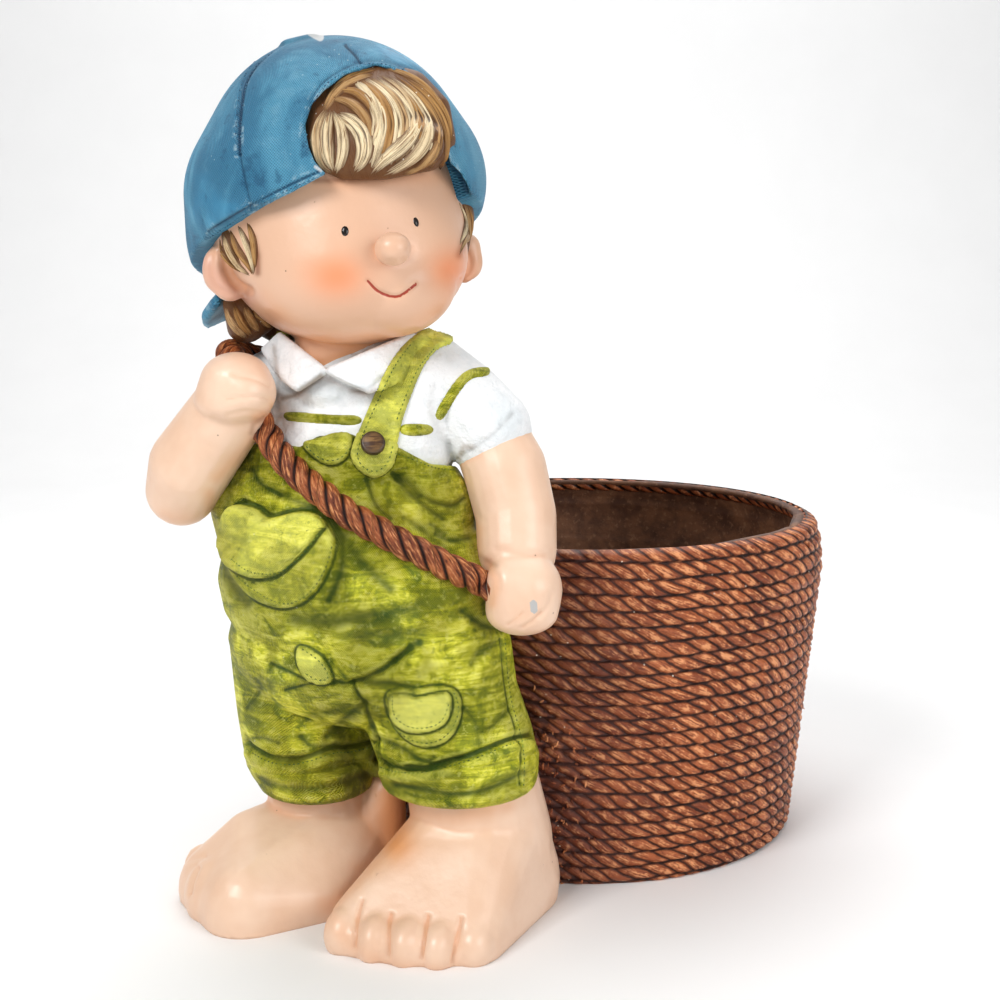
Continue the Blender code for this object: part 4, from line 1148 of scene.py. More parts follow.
def makeShirt():
    clay = clayObject("shirtClay", shirtForms)
    collar = clayObject("collarClay", collarForms)
    shirt = fuse("shirt", [clay, collar], shirtSettings["grain"], 3)
    carve(shirt, shirtDrawing)
    noteRecesses(shirt)
    places, normals = meshArrays(shirt)
    spots = sight(places)
    front = normals[:, 1] < 0.2
    # Brown lines of painted shade under the collar flaps, in folds and by the sleeve and strap.
    brownShade = [
        ([(-123.6, 280.8), (-116.5, 282.4), (-110, 287.4), (-102.8, 292.5)], 1.5, 0.9),
        ([(-127.7, 307.9), (-125.7, 290.6), (-127, 271.6)], 1.3, 0.45),
        ([(-86.4, 285.1), (-78.5, 283.6), (-73.8, 285.1)], 1.5, 0.5),
        ([(-28.9, 247.7), (-26.5, 254.9), (-21.7, 254.1)], 1.6, 0.55),
        ([(-148.9, 309.4), (-144.1, 311), (-140.8, 307.9)], 2.0, 0.7),
    ]
    store(shirt, "brownWash", np.max([
        strength * np.exp(-((lineDistance(spots, line) / wide) ** 2)) * front for line, wide, strength in brownShade
    ], axis=0))
    return shirt


# A raised painted band laid on a surface: a fine grid under its outline, domed, with its rim sunk in.
def layBand(name, onto, outlines, height, cell=0.8, viewer=eye):
    shape = bmesh.new()
    for outline in outlines:
        ring = smoothRing(outline)
        low, high = ring.min(axis=0) - cell, ring.max(axis=0) + cell
        xs = np.arange(low[0], high[0] + cell, cell)
        zs = np.arange(low[1], high[1] + cell, cell)
        spots = np.array([(x, z) for x in xs for z in zs])
        inner = insideDistance(spots, ring)
        verts = {}
        for n, (spot, depth) in enumerate(zip(spots, inner)):
            if depth < -1.3 * cell:
                continue
            share = min(1, max(0, (depth + 0.6) / 1.8))
            found = onto.at(spot, -0.7 + (height + 0.7) * math.sin(share * math.pi / 2), viewer)
            if found is not None:
                verts[n] = shape.verts.new(found[0] * mm)
        rows = len(zs)
        for n in verts:
            others = (n, n + rows, n + rows + 1, n + 1)
            if (n + 1) % rows and all(o in verts for o in others):
                shape.faces.new([verts[o] for o in others])
    lone = [v for v in shape.verts if not v.link_faces]
    bmesh.ops.delete(shape, geom=lone, context="VERTS")
    bmesh.ops.smooth_vert(shape, verts=shape.verts[:], factor=0.5, use_axis_x=True, use_axis_y=True,
        use_axis_z=True)
    made = meshObject(name, shape)
    places, normals = meshArrays(made)
    if ((viewer - places) * normals).sum() < 0:
        made.data.flip_normals()
    return made


# Dungarees: body, legs and turned-up cuffs, with pocket, patches, strap and folds carved on

clothSettings = {
    "grain": 1.0,
    "opening": [
        (-180, 241.9), (-155.6, 245.7), (-147.3, 251.7), (-135.2, 258.2), (-114.8, 254.4), (-105, 260.4),
        (-86.6, 261.5), (-75.9, 255), (-61.9, 254.4),
        (-44.7, 245.2), (-30.6, 244.1), (-23.1, 233.7), (-18.8, 208.9), (4.1, 192.3), (69.7, 192.3),
        (67.3, 359.4), (-176.2, 359.4),
    ],
}


def trouserForms(clay):
    ball(clay, (-92.5, -105, 218.6), (75, 48, 52), bodyTurn)
    ball(clay, (-84.5, -109, 182.4), (78.6, 57, 60), bodyTurn)
    hull(clay, ((-123.7, -82, 279.1), 28.6), ((-50.3, -113, 283.9), 28.6),
        ((-86.6, -105, 253), (59.8, 44.8, 35), bodyTurn))
    ball(clay, (-80.3, -107, 148.4), (79, 54, 48), bodyTurn)
    limb(clay, ((-118.8, -86, 143.1), 40), ((-120.9, -84, 107.6), (35.4, 36, 37)),
        ((-117.6, -83, 79), (35, 35, 30)))
    hull(clay, ((-80.8, -93, 116.1), 18), ((-78.1, -91, 79.3), 14))
    limb(clay, ((-44.7, -116, 150.7), (44, 42, 44)), ((-39.4, -120, 118.2), (43, 39, 43)),
        ((-30.7, -122, 93.5), (43.5, 38, 36)))


def cuffForms(clay):
    hull(clay, ((-115, -82, 72.7), (37, 38, 9)), ((-111.8, -82, 59.6), (33, 35, 8)))
    hull(clay, ((-29.7, -122, 89.6), (44.5, 41, 10)), ((-29.2, -122, 74.8), (43, 40, 10)))


clothDrawing = {
    "grooves": [
        ([(-153.9, 241.2), (-149, 247.7), (-138.5, 254.9)], 1.6, 0.8),
        ([(-64.8, 239.6), (-58.5, 233.2), (-49, 223.5), (-37.8, 215.4)], 2.2, 1.1),
        ([(-79.2, 236.4), (-74.6, 221.9), (-66.6, 215.4)], 2.0, 1.0),
        ([(-61.6, 238), (-55.3, 234.8), (-50.5, 228.4)], 3.2, 1.4),
        ([(-48.9, 228.4), (-41, 223.5), (-31.4, 221.9), (-25.8, 226.7)], 1.8, 1.2),
        ([(-41.1, 207.3), (-33.1, 203.2), (-23.5, 204.8)], 2.4, 1.3),
        ([(-44.3, 212.2), (-36.3, 207.3)], 1.8, 0.8),
        ([(-58.6, 215.4), (-45.9, 207.3), (-33.1, 195.9)], 2.6, 0.9),
        ([(-141.2, 242.8), (-138.2, 234.8), (-127.2, 228.4)], 2.2, 1.2),
        ([(-154.1, 234.8), (-156.1, 221.9), (-154.8, 208.9)], 2.6, 0.9),
        ([(-131.9, 231.6), (-119.2, 225.1), (-106.5, 221.9)], 2.6, 1.0),
        ([(-98.6, 215.4), (-92.5, 202.4), (-94.3, 184.4), (-101, 169.6)], 3.4, 2.0),
        ([(-92.4, 205.7), (-81.4, 189.3), (-67.1, 176.2)], 4.0, 1.3),
        ([(-161.6, 195.9), (-155.6, 179.5), (-146.3, 167.9)], 3.4, 1.2),
        ([(-120.6, 158.8), (-101.3, 156.4), (-78.6, 160.5), (-54.3, 164.6)], 5.0, 1.4),
        ([(-91.7, 149.7), (-67.4, 149.7), (-49.5, 151.4)], 4.2, 1.0),
        ([(-26.8, 163), (-17.1, 156.4), (-5.8, 153)], 2.6, 1.2),
        ([(-81.7, 167.9), (-62.3, 172.9), (-41.3, 172.9)], 6.0, -1.2),
        ([(-137, 151.4), (-114.4, 148.1), (-98.2, 146.4)], 6.0, -1.2),
        ([(-146.4, 224.5), (-138.5, 220.3), (-132.2, 215.4)], 2.1, 2.3),
        ([(-133.7, 133.7), (-124.8, 129.5), (-115.2, 124.5)], 1.6, 1.3),
        ([(-125.9, 118.6), (-118.5, 120.6), (-110.3, 122.8)], 1.5, 1.1),
        ([(-98.9, 123), (-89.2, 121.6), (-81, 125.3), (-71.2, 130), (-56.4, 142.1)], 2.4, 2.0),
        ([(-64.6, 135.4), (-56.4, 142.9), (-51.5, 145.4)], 3.0, 1.4),
        ([(-89.2, 122.3), (-84.1, 112.7), (-79.3, 102.6), (-76.3, 88.2), (-74.8, 77.1)], 2.0, 2.0),
        ([(-101.9, 91.6), (-91.1, 103.4), (-81.2, 109.9)], 3.2, 2.2),
        ([(-114, 103.4), (-102.5, 105.1), (-91, 108.5)], 2.6, 1.0),
        ([(-117.5, 91.6), (-111.1, 84.8), (-97.9, 87.3)], 2.4, 1.2),
        ([(-87.5, 123.7), (-77.8, 122.8), (-66.4, 122.8), (-55, 119.5)], 2.2, 1.2),
        ([(-22.4, 133.7), (-17.5, 140.4), (-7.8, 147.1)], 2.6, 0.8),
        ([(-26.5, 108.5), (-19.2, 100.1), (-17.6, 86.5)], 2.4, 0.9),
        ([(-74.9, 91.6), (-60.2, 84.8), (-48.8, 76.2), (-43.9, 79.7)], 2.2, 1.0),
        ([(-16, 95), (-7.8, 100.1), (-1.2, 108.5)], 2.0, 0.8),
        ([(-148.1, 108.5), (-138.9, 118.6), (-141.2, 123.7)], 2.0, 0.9),
        ([(-150.3, 88.2), (-142, 92.4), (-130.7, 88.2)], 2.0, 0.9),
        ([(-6.1, 148.7), (-4.5, 125.3), (-2.1, 110.2), (1.2, 100.1), (4, 88.2)], 0.9, 0.9),
        ([(4, 88.2), (5.4, 77.9), (4.7, 64.3)], 0.9, 0.9),
        ([(-148.7, 87.5), (-135.8, 79), (-122.7, 77.9), (-111.1, 80.7), (-97.9, 86.1), (-91.4, 85.3),
            (-77.4, 88.5)], 2.0, 3.2),
        ([(-75.9, 77.6), (-66.9, 74.2), (-55.4, 73.3), (-48, 74), (-34.9, 77.6), (-18.4, 82.7), (-0.4, 91.2),
            (14.3, 94.1)], 2.0, 3.2),
        ([(-148.8, 82.2), (-135.9, 73.7), (-122.8, 72.5), (-111.2, 75.2), (-98, 80.3), (-89.8, 79.7),
            (-77.5, 83.1)], 3.2, -1.7),
        ([(-75.2, 71.5), (-67, 68.4), (-55.5, 67.7), (-48.1, 68.2), (-34.9, 71.8), (-18.4, 76.9),
            (-0.4, 85.1), (14.3, 88.2)], 3.2, -1.7),
        ([(-141.8, 66.8), (-128, 61.7), (-111.5, 60.5), (-95, 63.9), (-81.8, 69.4)], 3.0, 1.1),
        ([(-65.4, 63.4), (-48.9, 60.5), (-30.8, 57.4), (-12.7, 60.8), (7, 71.1)], 2.8, 1.4),
        ([(-72, 61.7), (-57.2, 57.4), (-40.7, 55.7)], 2.0, 0.8),
        ([(-62, 76.2), (-57, 77.9), (-48, 75.4)], 1.2, -1.0),
        ([(-56.9, 311), (-65.7, 300), (-73.8, 282.7), (-80.3, 268.4), (-85.6, 255.7), (-86.6, 249.3),
            (-83.8, 242.8), (-75.9, 238.3), (-67.9, 240.9), (-64.4, 247.7), (-62.7, 254.4)], 0.9, 0.7),
        ([(-40.4, 307.9), (-48.4, 298.5), (-54.8, 282.7), (-59.7, 270), (-62.7, 254.4)], 0.9, 0.7),
    ],
    "raised": [
        ([(-56.9, 311), (-41.9, 320.4), (-30.2, 312.6), (-40.4, 307.6), (-48.4, 298.1), (-54.8, 282.4),
            (-59.7, 269.7), (-63, 254.1), (-64.7, 247.3), (-68.3, 240.9), (-75.9, 238.3), (-83.5, 242.8),
            (-86.6, 249.3), (-85.6, 255.7), (-80.3, 268.7), (-73.8, 283), (-65.7, 300.3)], 2.6, 1.4, 0.8,
            0.25),
        ([(-113.5, 256), (-105.8, 258.9), (-96.3, 261.2), (-86.4, 262), (-86.5, 253.7), (-90.1, 247.7),
            (-98.1, 244.1), (-106, 247.7), (-111.5, 253.3)], 1.8, 1.3, 0.8, 0.25),
        ([(-149.6, 223.8), (-138.5, 221.9), (-131.5, 215.1), (-125.8, 216.7), (-113, 219.9), (-104.7, 217.7),
            (-99, 211.8), (-96.6, 201.6), (-99.9, 187.7), (-108.7, 172.9), (-121.8, 165.3), (-135, 167.6),
            (-146.4, 174.2), (-153.5, 186), (-156.7, 199.1), (-156.3, 213.8)], 3.4, 2.8, 0.85, 0.25),
        ([(-149.6, 223.8), (-138.5, 221.9), (-131.5, 215.1), (-125.8, 216.7), (-113, 219.9), (-104.7, 217.7),
            (-100, 212.2), (-103.9, 205.3), (-113.5, 193.9), (-126.2, 183.1), (-136.3, 181.9),
            (-146.2, 184.1), (-154.1, 190.6), (-156.9, 202.4), (-155.7, 213.8)], 3.4, 1.3, 1.0, 0.5),
        ([(-118, 144.7), (-113.2, 144.7), (-106.8, 140.1), (-101.7, 133.7), (-98.6, 124.3), (-103.8, 122),
            (-112, 123), (-116.7, 128.7), (-119.5, 137.1)], 1.9, 1.2, 0.9, 0.7),
        ([(-70.7, 116.9), (-64.8, 119.8), (-53.4, 120), (-38.7, 121.6), (-30.3, 119), (-27.7, 110.2),
            (-29.4, 99.7), (-34.6, 90.6), (-43.8, 86.1), (-53.7, 87), (-61.8, 92.9), (-68.2, 103.1)],
            1.5, 1.2, 0.8, 0.35),
        ([(-68.7, 117.6), (-59.9, 117.9), (-51.8, 115.2), (-42, 117.6), (-34.5, 118.6), (-33.6, 109.9),
            (-36.2, 100.7), (-43.8, 95.6), (-56.9, 94.6), (-65, 99.7), (-68.2, 106.8)], 1.4, 1.0, 1.0, 0.95),
    ],
}

clothBackDrawing = {
    "grooves": [
        ([(-143, 245), (-99, 238), (-61, 242)], 1.6, 1.0), ([(-99, 236), (-101, 190), (-99, 150)], 1.1, 1.0),
        ([(-151, 215), (-121, 205), (-103, 212)], 3.0, 1.0), ([(-81, 200), (-55, 190), (-33, 196)], 3.0, 1.0),
        ([(-151, 150), (-121, 140), (-91, 150)], 3.4, 1.2), ([(-149, 92), (-121, 86), (-95, 90)], 1.4, 1.5),
    ],
    "raised": [
        ([(-137, 205), (-111, 205), (-111, 175), (-124, 166), (-137, 175)], 1.8, 1.4, 0.8, 0.3),
        ([(-79, 205), (-51, 205), (-51, 175), (-65, 166), (-79, 175)], 1.8, 1.4, 0.8, 0.3),
    ],
}


def makeDungarees():
    body = fuse("dungareeBody", [clayObject("trouserClay", trouserForms)], 1.6, 3)
    boolean(body, sightPrism("bibOpening", clothSettings["opening"], -259, 36), "DIFFERENCE")
    # The strap runs on over the shirt, so it is laid there as a thin skin of its own.
    cloth = fuse("dungarees", [body, clayObject("cuffClay", cuffForms)], clothSettings["grain"], 5)
    carve(cloth, clothDrawing)
    carve(cloth, clothBackDrawing, backEye)
    noteRecesses(cloth)
    noteCloth(cloth, (-80.3, -107, 148.4), 75)
    return cloth


straps = {
    "front": [(-56.9, 311), (-48.2, 317.3), (-36.5, 318), (-30.2, 311), (-40.4, 307.6), (-48.4, 298.1),
        (-54.8, 282.4), (-59.7, 269.7), (-63, 254.1), (-64.4, 246.7), (-68.3, 240.6), (-75.9, 238),
        (-83.5, 242.5), (-86.9, 249.3), (-85.6, 255.7), (-80.3, 268.7), (-73.8, 283), (-65.7, 300.3)],
    "shoulder": [(-147.4, 307.9), (-145, 309.4), (-140.7, 310.7), (-138.2, 309.1), (-138.6, 305.1),
        (-142.5, 302.5), (-145.9, 303.5)],
    "back": [
        [(-144, 347), (-123, 347), (-76.6, 244.4), (-94.4, 240.7)],
        [(-34, 347), (-56, 347), (-101, 240.7), (-82.2, 238.8)],
    ],
}


# A button with a rim and a domed face.
def makeButton(onto, spot, radius):
    place, normal = onto.at(spot, 0.6)
    matrix = Vector(normal).to_track_quat("Z", "Y").to_matrix()
    shape = bmesh.new()
    rows = [(0, 3.3), (1.2, 3.3), (2.6, 3.2), (4.4, 2.9), (5.2, 2.9), (5.9, 2.4), (6.3, 1.2), (6.2, -2.5)]
    rings = []
    for reach, rise in rows:
        share = reach / 6.3 * radius
        around = 1 if reach == 0 else 40
        ring = []
        for j in range(around):
            angle = 2 * math.pi * j / around
            spotNow = Vector((share * math.cos(angle), share * math.sin(angle), rise))
            ring.append(shape.verts.new((Vector(place) + matrix @ spotNow) * mm))
        rings.append(ring)
    for j in range(40):
        shape.faces.new((rings[0][0], rings[1][j], rings[1][(j + 1) % 40]))
        for first, second in zip(rings[1:], rings[2:]):
            shape.faces.new((first[j], second[j], second[(j + 1) % 40], first[(j + 1) % 40]))
    shape.faces.new(rings[-1][::-1])
    bmesh.ops.recalc_face_normals(shape, faces=shape.faces[:])
    made = meshObject("button", shape)
    skin = made.modifiers.new("Fine", "SUBSURF")
    skin.levels = skin.render_levels = 2
    plain(made)
    places, _ = meshArrays(made)
    away = np.linalg.norm((places - place) @ np.array(matrix), axis=1)
    store(made, "darkLine", np.clip((away - 0.78 * radius) / (0.25 * radius), 0, 1))
    return made


# Arms and hands

armSettings = {"grain": 1.1}


def leftArmForms(clay):
    limb(clay, ((-13.7, -113, 264.7), 20), ((-4.1, -120, 244.2), 22.3), ((1.6, -128, 221.3), 21.5),
        ((2.1, -135, 203.9), 21))
    hull(clay, ((7.7, -148, 185.3), (18, 20, 20)), ((4.6, -152, 174.6), (19, 17, 12)),
        ((-3.2, -152, 188.8), (11, 15, 15)))


def rightArmForms(clay):
    limb(clay, ((-150.3, -82, 272.5), 19), ((-179, -96, 236.5), 20))
    limb(clay, ((-178.2, -108, 231.7), 19.5), ((-170.9, -118, 246.6), 22.3), ((-145.2, -132, 279.8), 20))
    hull(clay, ((-141.9, -140, 293.8), (18, 20, 14)), ((-135.7, -144, 287.5), (15, 18, 15)),
        ((-143.2, -140, 283.6), (20.5, 20, 14)))


armDrawing = {
    "grooves": [
        ([(-149.7, 293.4), (-144.6, 292.5), (-136.8, 290.9), (-130.6, 287.1)], 1.2, 0.8),
        ([(-153.5, 280.2), (-144.9, 281.7), (-137, 281.7), (-131.4, 280.2)], 1.2, 0.75),
        ([(-153.1, 271.6), (-145.1, 274), (-137.2, 273.5), (-133.3, 270.8)], 1.3, 0.5),
        ([(-160.3, 270), (-153.3, 265.2), (-145.3, 265.2)], 2.2, 0.4),
        ([(-9, 198.3), (3.8, 195.9), (16.7, 195.1), (23.4, 197.8)], 2.2, 0.6),
        ([(16, 163.3), (11.2, 158), (5.5, 154.4)], 1.1, 0.9),
        ([(5.5, 163), (1.5, 158.8), (-2.6, 156)], 1.1, 0.85),
        ([(21.6, 172.9), (20, 166.3), (15.2, 160.5)], 1.3, 0.6),
        ([(-13.9, 191), (-8.2, 184.4), (-7.4, 176.2)], 2.0, 0.6),
        ([(-24.9, 241.2), (-23.4, 228.4), (-18.6, 215.4)], 2.0, 0.4),
        ([(-177.1, 265.2), (-172.5, 257.3), (-163.1, 254.1)], 4.0, 0.5),
    ],
    "raised": [],
}


def shadeSkin(made, shades, chips=(), brownShadeLines=()):
    places, normals = meshArrays(made)
    spots = sight(places)
    front = normals[:, 1] < 0.3
    shade = np.zeros(len(places))
    for line, wide, strength in shades:
        shade = np.maximum(shade, strength * np.exp(-((lineDistance(spots, line) / wide) ** 2)))
    store(made, "shade", shade)
    # Brown lines of painted shade in creases and along edges.
    brownShade = np.zeros(len(places))
    for line, wide, strength in brownShadeLines:
        brownShade = np.maximum(brownShade, strength * np.exp(-((lineDistance(spots, line) / wide) ** 2)))
    store(made, "brownWash", brownShade * front)
    chipped = np.zeros(len(places))
    for outline in chips:
        chipped = np.maximum(chipped, np.clip(insideDistance(spots, outline) / 1.2 + 0.5, 0, 1) * front)
    store(made, "chipped", chipped)


def makeArms():
    left = fuse("armLeft", [clayObject("leftArmClay", leftArmForms)], armSettings["grain"], 9)
    right = fuse("armRight", [clayObject("rightArmClay", rightArmForms)], armSettings["grain"], 9)
    for arm in (left, right):
        carve(arm, armDrawing)
        noteRecesses(arm)
    shadeSkin(
        left, [([(-28.9, 247.7), (-13.8, 256.5), (0.5, 270)], 3.5, 0.7),
            ([(-29.7, 246.1), (-28.2, 228.4), (-18.6, 208.9), (-19.5, 195.9)], 3.0, 0.45),
               ([(-13.9, 191), (-9, 181.1), (-10.7, 167.9)], 3.0, 0.4)],
        [[(9.5, 168.8), (11.6, 170.4), (13.6, 168.3), (13.9, 163.8), (12.3, 162), (10, 163.3)]],
        [([(-20.3, 195.9), (-15.5, 193.4), (-9, 189.3)], 1.6, 0.35)],
    )
    shadeSkin(
        right, [([(-163.9, 228.4), (-164.9, 220.3), (-166.7, 213.8)], 3.5, 0.4),
            ([(-138.1, 270), (-130.9, 273.2), (-127.3, 277.9)], 3.0, 0.5),
                ([(-160.4, 238), (-149, 247.7), (-140.8, 257.3)], 4.0, 0.35),
                ([(-156.3, 215.4), (-174, 212.2), (-189.9, 215.4)], 6.0, 0.3)],
        (), [([(-141, 262), (-139.8, 266.8), (-134.1, 270)], 1.4, 0.5)],
    )
    return left, right


# Legs and feet

legSettings = {
    "grain": 1.2,
    "toes": [
        ((-87.3, -168.5, 7.1), (11, 14.5, 14.5)), ((-70.3, -178, 7.1), (9.6, 14, 14)),
        ((-53.8, -183, 7.1), (9.6, 14, 14)), ((-36.8, -186, 7.1), (9.4, 14, 13.5)),
        ((-19.3, -182.5, 7.1), (11, 14, 13.5)),
    ],
}


def legForms(clay):
    limb(clay, ((-113.9, -78, 63), 27), ((-108.3, -76, 36.4), (33, 30, 30)),
        ((-103.4, -72, 7.3), (33, 33, 30)))
    limb(clay, ((-23.2, -118, 78), 36), ((-16.8, -114, 42), (39, 36, 30)),
        ((-14.1, -111, 18.6), (38, 38, 30)))
    hull(clay, ((-72.9, -82, 47.6), (12, 14, 20)), ((-73.3, -82, 17.5), (13, 14, 20)),
        ((-96.8, -78, 15.8), 24))


def footForms(clay):
    hull(
        clay, ((-5.8, -107, 12.1), (33, 33, 38)), ((-16.8, -116, 39.9), 37),
        ((-80.3, -161, 6.1), (17, 18, 20)),
        ((-22.3, -174, 6.1), (18, 19, 20)),
    )
    hull(clay, ((-86.3, -169.5, 6.1), 12.5), ((-53.8, -182.5, 6.1), 12.5), ((-20.3, -181.5, 6.1), 12.5))
    for place, radii in legSettings["toes"]:
        ball(clay, place, radii, (0, 0, -20))
    hull(
        clay, ((-91.8, -73, 18.1), (30, 30, 38)), ((-110.5, -74, 23.4), 30),
        ((-143.8, -140, 8.1), (24, 23, 27)),
        ((-167.8, -105, 6.1), (20, 24, 23)), ((-104.8, -126, 6.1), 16), ((-149.2, -96, 32), 14),
    )
    ball(clay, (-156.8, -125, 8.1), (26, 22, 24), (0, 0, -40))
    ball(clay, (-174.8, -87, 8.1), (15, 12, 15), (0, 0, -30))


legDrawing = {
    "grooves": [
        ([(-85, -3.8), (-88.6, -18.8), (-89.9, -32.1)], 1.2, 1.7),
        ([(-68.6, -12.2), (-70.5, -24.8), (-70.6, -36.9)], 1.2, 1.7),
        ([(-47.6, -13.4), (-50, -25.4), (-51.8, -38.7)], 1.2, 1.7),
        ([(-28.9, -14.6), (-31.3, -27.8), (-33.6, -41.8)], 1.2, 1.7),
        ([(-177.2, 16.4), (-180.9, 8.1), (-182.8, -0.2)], 1.4, 1.7),
        ([(-187.3, 18.8), (-180.5, 21.2), (-173.1, 22.9)], 1.8, 0.8),
        ([(-136.5, 50.5), (-123.4, 46.2), (-105.2, 43.6), (-91.9, 50.5)], 4.0, 0.5),
        ([(-57.4, 32.3), (-39.2, 32.3), (-19.4, 32.3), (-2.8, 34.1)], 4.0, 0.4),
    ],
    "raised": [],
}


def makeLegs():
    legs = fuse("legs", [clayObject("legClay", legForms, footForms)], legSettings["grain"], 9)
    carve(legs, legDrawing)
    cutBelow(legs, (0, 0, 0))
    noteRecesses(legs)
    shadeSkin(
        legs, [([(-67.1, 57.4), (-67.2, 43.6), (-65.7, 29.7)], 12, 1.0),
            ([(-82, 50.5), (-72.4, 22.8), (-84.2, 14.1)], 7, 0.45),
               ([(-77.4, 22.8), (-89.3, 5.3), (-101.1, -5.2)], 5, 0.4),
               ([(-136.3, 57.4), (-111.7, 53.1), (-81.9, 60.8)], 5, 0.35),
               ([(-58.9, 47.9), (-32.5, 45.3), (-2.8, 52.2)], 5, 0.35),
               ([(-106.1, -5.2), (-93.2, -30), (-73.2, -44.2), (-33, -47.8)], 5, 0.25)],
        (), [([(16.8, 77.9), (23.6, 50.5), (27.8, 29.7), (29.1, 5.3)], 1.8, 0.6),
            ([(21.9, 48.8), (24.4, 41.9)], 2.2, 0.5)],
    )
    return legs


# Geometry Nodes: rope, stitches, tub wall and crumbs

def newTree(name, inputs):
    tree = bpy.data.node_groups.new(name, "GeometryNodeTree")
    tree.interface.new_socket("Geometry", in_out="INPUT", socket_type="NodeSocketGeometry")
    for label, (kind, value) in inputs.items():
        socket = tree.interface.new_socket(label, in_out="INPUT", socket_type="NodeSocket" + kind)
        if value is not None:
            socket.default_value = value
    tree.interface.new_socket("Geometry", in_out="OUTPUT", socket_type="NodeSocketGeometry")
    maker = Maker(tree)
    source = tree.nodes.new("NodeGroupInput")
    return maker, {s.name: Link(maker, s) for s in source.outputs if s.name}


def endTree(maker, geometry, material):
    real = maker.add("GeometryNodeRealizeInstances", None, {0: geometry})
    painted = maker.add("GeometryNodeSetMaterial", None, {"Geometry": real, "Material": material})
    result = maker.tree.nodes.new("NodeGroupOutput")
    maker.tree.links.new(painted.socket, result.inputs[0])
    return maker.tree


def runTree(made, tree, values):
    step = made.modifiers.new(tree.name, "NODES")
    step.node_group = tree
    sockets = {i.name: i.identifier for i in tree.interface.items_tree if i.in_out == "INPUT"}
    for label, value in values.items():
        step[sockets[label]] = value
    return plain(made)


def keepAttribute(m, geometry, name, value):
    settings = {"data_type": "FLOAT", "domain": "POINT"}
    return m.add("GeometryNodeStoreNamedAttribute", settings,
        {"Geometry": geometry, "Name": name, "Value": value})


# A twisted rope of three strands along a line.
def ropeTree():
    m, given = newTree("twistedRope", {
        "Radius": ("Float", 0.0078), "Strand Spacing": ("Float", 0.015), "Step": ("Float", 0.0014),
        "Sides": ("Int", 36), "Groove": ("Float", 0.36), "Caps": ("Bool", True),
        "Material": ("Material", None),
    })
    line = m.add("GeometryNodeMeshToCurve", None, {"Mesh": given["Geometry"]})
    line = m.add("GeometryNodeResampleCurve", {"mode": "LENGTH"}, {"Curve": line, "Length": given["Step"]})
    reached = m.add("GeometryNodeSplineParameter", output="Length")
    tilt = reached * (2 * math.pi / 3) / given["Strand Spacing"]
    line = m.add("GeometryNodeSetCurveTilt", None, {"Curve": line, "Tilt": tilt})
    line = keepAttribute(m, line, "ropeAlong", reached * 1000)
    ring = m.add("GeometryNodeCurvePrimitiveCircle", {"mode": "RADIUS"},
        {"Resolution": given["Sides"], "Radius": 1.0})
    share = m.add("GeometryNodeSplineParameter", output="Factor")
    lobe = m.size(m.maths("COSINE", share * (3 * math.pi)))
    reach = given["Radius"] * (1 - given["Groove"] + given["Groove"] * lobe ** 0.55)
    spot = m.add("GeometryNodeInputPosition")
    spot = m.add("ShaderNodeVectorMath", {"operation": "SCALE"}, {0: spot, "Scale": reach})
    ring = m.add("GeometryNodeSetPosition", None, {"Geometry": ring, "Position": spot})
    ring = keepAttribute(m, ring, "ropeAround", share)
    ring = keepAttribute(m, ring, "ropeFace", lobe)
    inputs = {"Curve": line, "Profile Curve": ring, "Fill Caps": given["Caps"]}
    return endTree(m, m.add("GeometryNodeCurveToMesh", None, inputs), given["Material"])


# Small beads in a row along each line.
def stitchTree():
    m, given = newTree("stitchRow", {
        "Spacing": ("Float", 0.0024), "Length": ("Float", 0.0014), "Width": ("Float", 0.0006),
        "Material": ("Material", None),
    })
    line = m.add("GeometryNodeMeshToCurve", None, {"Mesh": given["Geometry"]})
    line = m.add("GeometryNodeResampleCurve", {"mode": "LENGTH"}, {"Curve": line, "Length": given["Spacing"]})
    bead = m.add("GeometryNodeMeshUVSphere", None, {"Segments": 8, "Rings": 5, "Radius": 0.5})
    along = m.add("GeometryNodeInputTangent")
    turn = m.add("FunctionNodeAlignRotationToVector", {"axis": "X"}, {"Vector": along})
    size = m.join(given["Length"], given["Width"], given["Width"])
    inputs = {"Points": line, "Instance": bead, "Rotation": turn, "Scale": size}
    return endTree(m, m.add("GeometryNodeInstanceOnPoints", None, inputs), given["Material"])


tubSettings = {
    "centre": (44.7, 45.1), "rim": 154.0, "foot": 137.8, "height": 197.0, "shoulder": 31.0, "inset": 8.4,
    "wall": 7.0, "floor": 8.0,
    "windings": 22, "strand": 13.0, "groove": 3.2, "columns": 518, "rows": 190,
}


